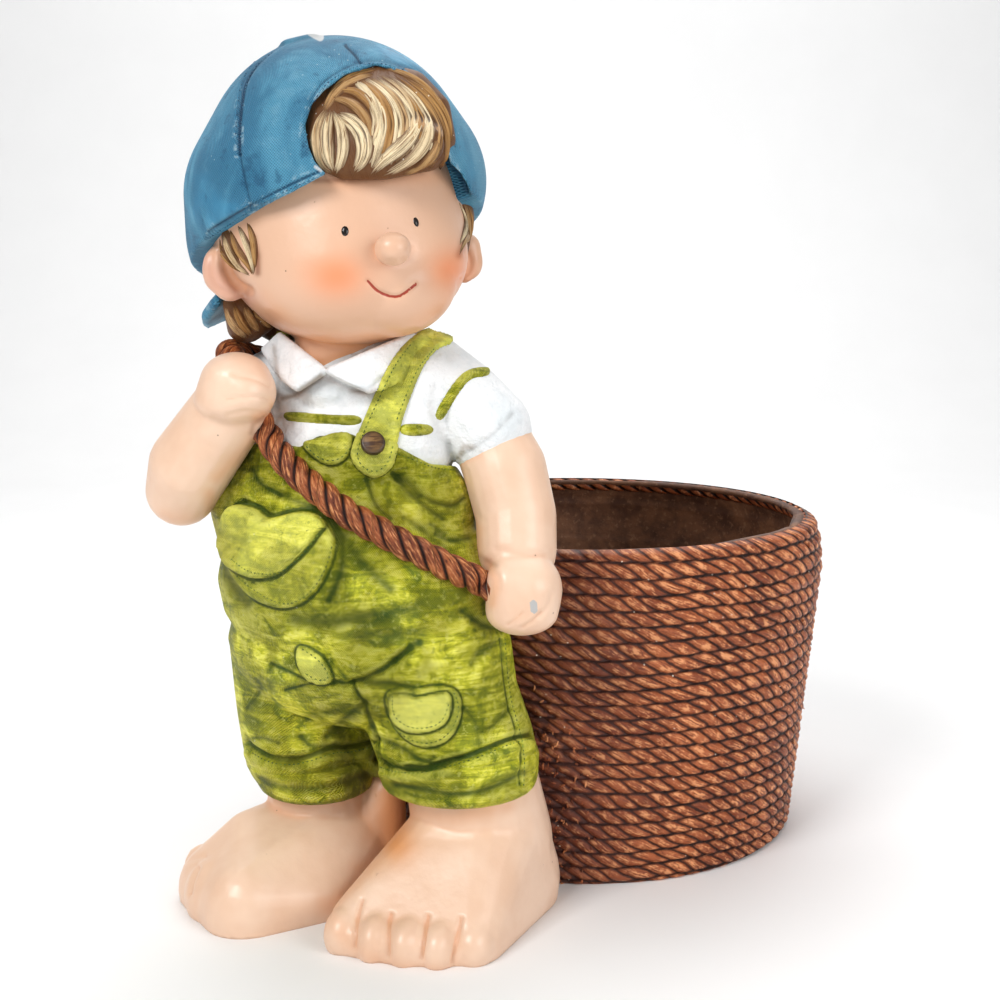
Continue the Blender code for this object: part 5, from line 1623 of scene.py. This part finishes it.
# The tub's outer wall: a rope of twisted strands wound round a cone.
def wallTree():
    m, given = newTree("ropeWoundWall", {
        "Centre": ("Vector", (0, 0, 0)), "Rim Radius": ("Float", 0.154), "Foot Radius": ("Float", 0.138),
        "Shoulder": ("Float", 0.031), "Inset": ("Float", 0.0084), "Height": ("Float", 0.197),
        "Windings": ("Int", 22), "Strand Length": ("Float", 0.011),
        "Groove": ("Float", 0.0026), "Columns": ("Int", 472), "Rows": ("Int", 200),
        "Material": ("Material", None),
    })
    inputs = {"Size X": 1.0, "Size Y": 1.0, "Vertices X": given["Columns"], "Vertices Y": given["Rows"]}
    grid = m.add("GeometryNodeMeshGrid", None, inputs)
    x, y, _ = m.axes(m.add("GeometryNodeInputPosition"))
    # The columns stand closer together in front.
    around, up = x + 0.5 + m.sine((x + 0.2) * (2 * math.pi)) * (0.45 / (2 * math.pi)), y + 0.5
    angle = around * (2 * math.pi)
    sideways, forth = m.maths("COSINE", angle), m.sine(angle)
    spot = m.join(sideways * 0.15, forth * 0.15, up * 0.197)
    wander = m.noise(spot, 13, 2) - 0.5
    rough = m.noise(spot, 110, 3) - 0.5
    turn = up * given["Windings"] + around + wander * 0.75
    index = m.maths("FLOOR", turn)
    local = (turn - index) * 2 - 1
    perTurn = m.maths("FLOOR", given["Rim Radius"] * (2 * math.pi) / given["Strand Length"]) - 0.37
    phase = around * perTurn + index * 0.37 + local * 0.55 + wander * 1.2 + rough * 0.30
    lobe = m.size(m.maths("COSINE", phase * math.pi)) ** 0.6
    rounding = m.maths("SQRT", 1 - local * local * 0.90)
    messy = m.step(m.size(around - 0.665), 0.100, 0.060) * m.step(up + wander * 0.8, 0.66, 0.42)
    face = rounding * (0.42 + 0.58 * lobe) * (1 - 0.45 * messy) + messy * m.size(rough) * 2.4
    face = m.most(face, 0.08)
    ends = m.step(up, 0.0, 0.006) * m.step(up, 1.0, 0.99)
    sag = m.noise(spot, 24, 2) * 0.0012
    low = given["Height"] - given["Shoulder"]
    share = m.least(1, up * given["Height"] / low)
    reach = given["Foot Radius"] + (given["Rim Radius"] - given["Foot Radius"]) * share
    share = m.most(0, (up * given["Height"] - low) / given["Shoulder"])
    reach = reach - given["Inset"] * (1 - m.maths("SQRT", 1 - m.least(share * share, 1)))
    reach = reach + given["Groove"] * (face * ends - 1) + (rough * 0.0010 - sag * 0.5) * ends
    reach = m.least(reach, given["Rim Radius"])
    shift = m.join(reach * sideways, reach * forth, up * given["Height"])
    shift = m.add("ShaderNodeVectorMath", {"operation": "ADD"}, {0: shift, 1: given["Centre"]})
    # Where the boy's painted shadow falls on the tub.
    near = m.step(m.size(around - 0.60), 0.220, 0.105)
    for name, value in (
        ("ropeAcross", local), ("ropePhase", phase), ("ropeTurn", index), ("ropeFace", face),
        ("nearFigure", near),
        ("torn", messy),
    ):
        grid = keepAttribute(m, grid, name, value)
    wall = m.add("GeometryNodeSetPosition", None, {"Geometry": grid, "Position": shift})
    wall = m.add("GeometryNodeMergeByDistance", None, {"Geometry": wall, "Distance": 0.00004})
    return endTree(m, wall, given["Material"])


# Crumbs of resin that stand on the windings.
def crumbTree():
    m, given = newTree("resinCrumbs", {
        "Density": ("Float", 2200.0), "Size": ("Float", 0.0011), "Seed": ("Int", 7),
        "Material": ("Material", None),
    })
    spot = m.add("GeometryNodeInputPosition")
    patch = m.step(m.noise(spot, 22, 2), 0.50, 0.66)
    torn = m.add("GeometryNodeInputNamedAttribute", {"data_type": "FLOAT"}, {"Name": "torn"})
    inputs = {"Mesh": given["Geometry"], "Density": given["Density"] * (patch + torn * 18),
        "Seed": given["Seed"]}
    points = m.add("GeometryNodeDistributePointsOnFaces", {"distribute_method": "RANDOM"}, inputs)
    # The crumbs take a little of the boy's painted shadow.
    points = keepAttribute(m, keepAttribute(m, points, "ropeFace", 0.85), "nearFigure", 0.15)
    crumb = m.add("GeometryNodeMeshIcoSphere", None, {"Radius": 1.0, "Subdivisions": 1})
    turn = m.add("FunctionNodeRandomValue", {"data_type": "FLOAT_VECTOR"},
        {0: (0, 0, 0), 1: (6.2, 6.2, 6.2), "Seed": 3})
    size = m.add("FunctionNodeRandomValue", {"data_type": "FLOAT_VECTOR"},
        {0: (0.6, 0.4, 0.3), 1: (2.4, 0.9, 0.6), "Seed": 5})
    size = m.add("ShaderNodeVectorMath", {"operation": "SCALE"}, {0: size, "Scale": given["Size"]})
    inputs = {"Points": points, "Instance": crumb, "Rotation": turn, "Scale": size}
    return endTree(m, m.add("GeometryNodeInstanceOnPoints", None, inputs), given["Material"])


# A mesh of loose lines, for a tree to follow.
def lineObject(name, lines, closed=False):
    shape = bmesh.new()
    for line in lines:
        verts = [shape.verts.new(np.array(p) * mm) for p in line]
        for a, b in zip(verts, verts[1:]):
            shape.edges.new((a, b))
        if closed:
            shape.edges.new((verts[-1], verts[0]))
    return meshObject(name, shape)


def rows(onto, lines, lift, viewer=eye):
    found = []
    for line in lines:
        path = smoothLine(line, 3)
        steps = np.concatenate([[0], np.cumsum(np.linalg.norm(np.diff(path, axis=0), axis=1))])
        wanted = np.linspace(0, steps[-1], max(3, int(steps[-1] / 1.2)))
        spots = np.column_stack([np.interp(wanted, steps, path[:, k]) for k in range(2)])
        placed = [onto.at(s, lift, viewer) for s in spots]
        placed = [p[0] for p in placed if p is not None]
        run = placed[:1]
        for p in placed[1:]:
            if np.linalg.norm(p - run[-1]) > 6:
                if len(run) > 3:
                    found.append(run)
                run = []
            run.append(p)
        if len(run) > 3:
            found.append(run)
    return found


def makeLining():
    s = tubSettings
    groove = s["groove"]
    low = s["height"] - s["shoulder"]

    def reach(z):
        share = max(0, (z - low) / s["shoulder"])
        taper = (s["rim"] - s["foot"]) * min(1, z / low)
        return s["foot"] + taper - s["inset"] * (1 - math.sqrt(max(0, 1 - share ** 2)))

    def outer(z):
        return reach(z) - groove - 1.0

    def inner(z):
        return reach(z) - groove - s["wall"]

    profile = [(0, 0), (outer(0) * 0.5, 0), (outer(0), 0)]
    profile += [(outer(z), z) for z in np.linspace(2, s["height"] - 6, 24)]
    top = s["height"]
    profile += [(outer(top) + 1.0, top - 3), (outer(top) + 0.3, top - 0.8), (outer(top) - 1.2, top - 0.3)]
    profile += [(inner(top) + 2.0, top - 0.4), (inner(top) + 0.7, top - 1.2), (inner(top), top - 3)]
    for z in np.linspace(top - 5, s["floor"] + 4, 70):
        profile.append((inner(z) + 0.45 * math.sin(z * 2 * math.pi / 9), z))
    profile += [(inner(s["floor"]) - 1, s["floor"] + 1.2), (inner(s["floor"]) - 4, s["floor"])]
    profile += [(60, s["floor"]), (0, s["floor"])]
    sides = 160
    shape = bmesh.new()
    rings = []
    for radius, z in profile:
        count = 1 if radius == 0 else sides
        rings.append([
            shape.verts.new((
                (s["centre"][0] + radius * math.cos(2 * math.pi * j / sides)) * mm,
                (s["centre"][1] + radius * math.sin(2 * math.pi * j / sides)) * mm, z * mm,
            )) for j in range(count)
        ])
    for first, second in zip(rings, rings[1:]):
        for j in range(sides):
            k = (j + 1) % sides
            corners = [first[j % len(first)], first[k % len(first)]]
            corners += [second[k % len(second)], second[j % len(second)]]
            shape.faces.new(list(dict.fromkeys(corners)))
    bmesh.ops.recalc_face_normals(shape, faces=shape.faces[:])
    return meshObject("tubLining", shape)


# Moves what would stand in the tub's hollow into the middle of its wall.
def clearTub(made):
    s = tubSettings
    places, _ = meshArrays(made)
    away = places[:, :2] - np.array(s["centre"])
    reach = np.maximum(np.linalg.norm(away, axis=1), 1)
    heights = (0, s["height"] - s["shoulder"], s["height"])
    radii = (s["foot"], s["rim"], s["rim"] - s["inset"])
    wall = np.interp(places[:, 2], heights, radii) - s["groove"] - s["wall"] / 2
    inside = (reach < wall) & (places[:, 2] < s["height"] + 1)
    places[inside, :2] += away[inside] * (wall / reach - 1)[inside, None]
    setPlaces(made, places)


# Work through the pieces

chestRope = {
    "radius": 7.6, "strandSpacing": 11.0, "lift": 3.6,
    "start": (-138.2, -133, 282.5), "end": (-7.3, -156, 186),
    "spots": [(-135.1, 263.6), (-124.6, 251.7), (-115.1, 240.8), (-101.8, 227.6), (-88.4, 217.2),
        (-74.9, 208.4), (-61.3, 200.6), (-47.8, 193.4), (-34.1, 186.7), (-18.8, 179.4)],
}
backRope = {
    "start": [(-145.8, -123, 296.2), (-150.9, -108, 303.7), (-153.9, -88, 305.3)],
    "spots": [(-140.5, 292.4), (-129.3, 277.5), (-115.6, 259.5), (-101.5, 240.8), (-87.4, 221.0)],
    "end": (-76.9, -40.1, 183.2),
}
capStitches = {
    "lines": [
        [(-125.1, 460.3), (-130.9, 456.1), (-135.6, 451.4), (-139, 444.3), (-141.1, 432.4), (-142.4, 418.1),
            (-142.3, 409.9)], [(-127.4, 461.2), (-132.4, 457.9), (-138, 451.7), (-141.9, 444), (-144, 432.4),
            (-145.4, 417.4)],
        [(-160, 366.1), (-146.5, 374.7), (-129.2, 385.4), (-113.5, 392.9), (-102.6, 397)],
        [(-108.5, 412.9), (-107.6, 426.7), (-100.6, 442.5), (-88.6, 450.8), (-75.3, 455.7), (-59.5, 453.5),
            (-45.8, 445.5), (-36, 430.1)],
    ],
    "spacing": 2.3, "length": 1.3, "width": 0.55,
}
clothStitches = {
    "lines": [
        [(-54.9, 309.1), (-63.2, 298.8), (-71.3, 281.7), (-77.8, 268.1), (-83.4, 254.9), (-84.1, 249.3),
            (-81.9, 244.1), (-75.9, 240.6), (-69.8, 242.8), (-66.6, 247.7), (-64.9, 254.1)],
        [(-42.3, 306.9), (-50.6, 297.8), (-57.2, 282.7), (-62.1, 270)],
        [(-111, 254.4), (-106, 248.9), (-98.1, 246.4), (-91.7, 248.9), (-88.1, 253.3)],
        [(-153.4, 192.6), (-145.8, 186), (-136.2, 184.1), (-126.5, 185.1), (-115.1, 194.6), (-106.5, 205.7)],
        [(-150.7, 183.1), (-139.7, 173.7), (-128.5, 167.9), (-120.5, 167.6), (-109.8, 174.5),
            (-101.5, 188.5), (-98.9, 199.1)], [(-63.1, 250.9), (-53.6, 247.7), (-42.5, 242.8), (-32.1, 242)],
        [(-115.5, 142.1), (-108.4, 137.4), (-103.7, 132), (-100.8, 125.3), (-107.1, 124), (-113.5, 127.8)],
        [(-68.9, 100.9), (-60.2, 91.9), (-52, 88.5), (-44.6, 88.2), (-36.4, 92.4), (-31, 100.9),
            (-29.3, 110.2), (-32.2, 116.9)],
        [(-66.5, 114.9), (-66.6, 106.8), (-63.7, 101.4), (-56, 96.7), (-44.6, 97.3), (-38, 102.1),
            (-35.5, 110.2)], [(-147.8, 84.8), (-135.8, 76.6), (-122.7, 75.6), (-111.2, 78.3), (-98, 83.4),
            (-91.4, 82.7), (-78.3, 86.1)],
        [(-74.8, 74.9), (-66.9, 71.8), (-55.4, 70.8), (-48, 71.5), (-34.9, 74.9), (-18.4, 80), (-0.4, 88.5),
            (13.5, 91.6)],
        [(-4.2, 147.9), (-2.6, 125.3), (-0.1, 110.2), (3, 100.1), (5.7, 88.2), (7, 77.9), (6.4, 64.3)],
    ],
    "spacing": 2.5, "length": 1.3, "width": 0.6,
}


def stitchPaint(dark, light):
    def build(m):
        place = m.place()
        wear = m.noise(place, 240, 3)
        return {
            "Base Color": m.mix(m.step(wear, 0.40, 0.66), dark, light),
            "Roughness": 0.4 + wear * 0.2,
            "Normal": m.bump(wear, 0.3, 0.0003),
        }

    return build


head = makeHead()
cap = makeCap()
hairBase, hairLocksPiece = makeHair(head)
shirt = makeShirt()
cloth = makeDungarees()
armLeft, armRight = makeArms()
legs = makeLegs()
print("clay pieces ready")

headSurface = Surface(head)
eyeShape = bmesh.new()
for spot, radii in faceSettings["eyes"]:
    aim = np.array(spot) - eye
    reach = (drawingPlane - eye[1]) / aim[1]
    eyeDot(eyeShape, headSurface, (eye[0] + aim[0] * reach, eye[2] + aim[2] * reach), radii)
eyes = meshObject("eyes", eyeShape)

shirtSurface = Surface(shirt)
bodySurface = Surface(shirt, cloth)
stripePiece = layBand("shirtStripes", shirtSurface, stripes, shirtSettings["stripeHeight"])
noteRecesses(stripePiece, 2, 6)
strapPiece = layBand("strap", bodySurface, [straps["front"], straps["shoulder"]], 2.6, 0.55)
store(strapPiece, "lightPatch", np.full(len(strapPiece.data.vertices), 0.55))
noteRecesses(strapPiece, 2, 8)
backStraps = layBand("backStraps", bodySurface, straps["back"], 2.2, viewer=backEye)
noteRecesses(backStraps, 2, 8)
for band in (stripePiece, strapPiece, backStraps):
    noteCloth(band, (-80.3, -107, 148.4), 75)
dressed = Surface(shirt, cloth, strapPiece)
button = makeButton(dressed, (-75.4, 256), 6.4)

rope = ropeTree()
everything = Surface(shirt, cloth, armLeft, armRight, strapPiece)
onChest = [everything.at(s, chestRope["lift"])[0] for s in chestRope["spots"]]
path = [chestRope["start"]] + onChest + [chestRope["end"]]
behind = Surface(shirt, cloth)
onBack = [behind.at(s, chestRope["lift"], backEye)[0] for s in backRope["spots"]]
back = backRope["start"] + onBack + [backRope["end"]]
ropePiece = lineObject("rope", [smoothLine(path, 3), smoothLine(back, 3)])
runTree(ropePiece, rope, {
    "Radius": chestRope["radius"] * mm, "Strand Spacing": chestRope["strandSpacing"] * mm,
    "Material": finishes["rope"],
})

stitches = stitchTree()
capRows = lineObject("capStitches", rows(Surface(cap), capStitches["lines"], 0.15))
clothRows = lineObject("clothStitches", rows(Surface(cloth, strapPiece), clothStitches["lines"], 0.10))
capThread = paintMaterial("capThreadPaint", stitchPaint((0.01, 0.05, 0.12, 1), (0.10, 0.30, 0.44, 1)))
clothThread = paintMaterial("clothThreadPaint", stitchPaint((0.012, 0.07, 0.008, 1), (0.22, 0.32, 0.03, 1)))
for made, settings, paint in ((capRows, capStitches, capThread), (clothRows, clothStitches, clothThread)):
    runTree(made, stitches, {
        "Spacing": settings["spacing"] * mm, "Length": settings["length"] * mm,
        "Width": settings["width"] * mm,
        "Material": paint,
    })

centre = tubSettings["centre"]
wall = meshObject("tubWall", bmesh.new())
runTree(wall, wallTree(), {
    "Centre": (centre[0] * mm, centre[1] * mm, 0.0), "Rim Radius": tubSettings["rim"] * mm,
    "Foot Radius": tubSettings["foot"] * mm, "Height": tubSettings["height"] * mm,
    "Shoulder": tubSettings["shoulder"] * mm, "Inset": tubSettings["inset"] * mm,
    "Windings": tubSettings["windings"], "Strand Length": tubSettings["strand"] * mm,
    "Groove": tubSettings["groove"] * mm, "Columns": tubSettings["columns"], "Rows": tubSettings["rows"],
    "Material": finishes["tub"],
})
crumbs = meshObject("tubCrumbs", bmesh.new())
crumbs.data = wall.data.copy()
runTree(crumbs, crumbTree(), {"Material": finishes["tub"]})
rimRope = {"radius": 4.6, "strandSpacing": 11, "reach": 142.6, "height": 192.2, "points": 240}
rimTurns = np.linspace(0, 2 * math.pi, rimRope["points"] + 1)[:-1]
reach = rimRope["reach"]
rimPath = [
    (centre[0] + reach * math.cos(a), centre[1] + reach * math.sin(a), rimRope["height"]) for a in rimTurns
]
rim = lineObject("tubRim", [rimPath], closed=True)
runTree(rim, rope, {
    "Radius": rimRope["radius"] * mm, "Strand Spacing": rimRope["strandSpacing"] * mm, "Step": 0.0022,
    "Sides": 18, "Caps": False, "Material": finishes["tub"],
})
lining = makeLining()
for made in (cloth, shirt, legs, armLeft, ropePiece, backStraps, clothRows):
    clearTub(made)
print("tub ready")

for made, name, paint, slotName in (
    (head, "head", "skin", "skin_paint"), (eyes, "eyes", "eye", "skin_paint"),
    (cap, "cap", "cap", "cap_paint"),
    (hairBase, "hairBase", "hair", "hair_paint"), (hairLocksPiece, "hairLocks", "hair", "hair_paint"),
    (shirt, "shirt", "shirt", "shirt_paint"), (stripePiece, "shirtStripes", "cloth", "dungarees_paint"),
    (cloth, "dungarees", "cloth", "dungarees_paint"), (strapPiece, "strap", "cloth", "dungarees_paint"),
    (backStraps, "backStraps", "cloth", "dungarees_paint"), (button, "button", "button", "hair_paint"),
    (armLeft, "armLeft", "skin", "skin_paint"), (armRight, "armRight", "skin", "skin_paint"),
    (legs, "legs", "skin", "skin_paint"), (ropePiece, "rope", "rope", "rope_paint"),
    (wall, "tubWall", "tub", "planter_paint"), (crumbs, "tubCrumbs", "tub", "planter_paint"),
    (rim, "tubRim", "tub", "planter_paint"), (lining, "tubLining", "lining", "planter_paint"),
):
    finishPiece(made, name, finishes[paint])
finishPiece(capRows, "capStitches", capThread)
finishPiece(clothRows, "clothStitches", clothThread)


# Floor, lights and camera

stageSettings = {
    "camera": (-6.8, -908.0, 350.1), "pitch": 8.8, "lens": 54.0,
    "lights": (
        ((-0.85, -1.20, 1.30), 0.7, 20.0), ((1.15, -1.1, 0.75), 0.9, 10.5), ((0.1, 0.5, 1.7), 1.6, 9.0),
        ((0.0, 1.1, 2.3), 1.8, 29.0),
    ),
    "aim": ((0, 0, 0.22), (0, 0, 0.22), (0, 0, 0.22), (0, 2.2, 0.5)),
    "world": 0.30,
}


def makeBackdrop():
    outline = [(-2.6, 0.0), (1.4, 0.0)]
    outline += [(1.4 + 0.8 * math.sin(a), 0.8 - 0.8 * math.cos(a)) for a in np.linspace(0.1, math.pi / 2, 14)]
    outline.append((2.2, 3.2))
    shape = bmesh.new()
    rows = [[shape.verts.new((x, y, z)) for y, z in outline] for x in (-4.0, 4.0)]
    for i in range(len(outline) - 1):
        shape.faces.new((rows[0][i], rows[1][i], rows[1][i + 1], rows[0][i + 1]))
    made = meshObject("backdrop", shape)
    made.data.shade_smooth()
    made.data.materials.append(paintMaterial("paleFloor", floorPaint))


makeBackdrop()
scene = bpy.context.scene
cameraData = bpy.data.cameras.new("camera")
cameraData.lens = stageSettings["lens"]
cameraData.sensor_width = 36
cameraData.clip_start = 0.05
camera = bpy.data.objects.new("camera", cameraData)
camera.location = [v * mm for v in stageSettings["camera"]]
camera.rotation_euler = (math.radians(90 - stageSettings["pitch"]), 0, 0)
scene.collection.objects.link(camera)
scene.camera = camera
for (place, size, power), aim in zip(stageSettings["lights"], stageSettings["aim"]):
    data = bpy.data.lights.new("softbox", "AREA")
    data.shape = "SQUARE"
    data.size = size
    data.energy = power
    lamp = bpy.data.objects.new("softbox", data)
    lamp.location = place
    lamp.rotation_euler = (Vector(aim) - Vector(place)).to_track_quat("-Z", "Y").to_euler()
    scene.collection.objects.link(lamp)
world = bpy.data.worlds.new("studio")
world.use_nodes = True
world.node_tree.nodes["Background"].inputs["Color"].default_value = (1, 1, 1, 1)
world.node_tree.nodes["Background"].inputs["Strength"].default_value = stageSettings["world"]
scene.world = world
scene.view_settings.view_transform = "Standard"
scene.view_settings.look = "None"
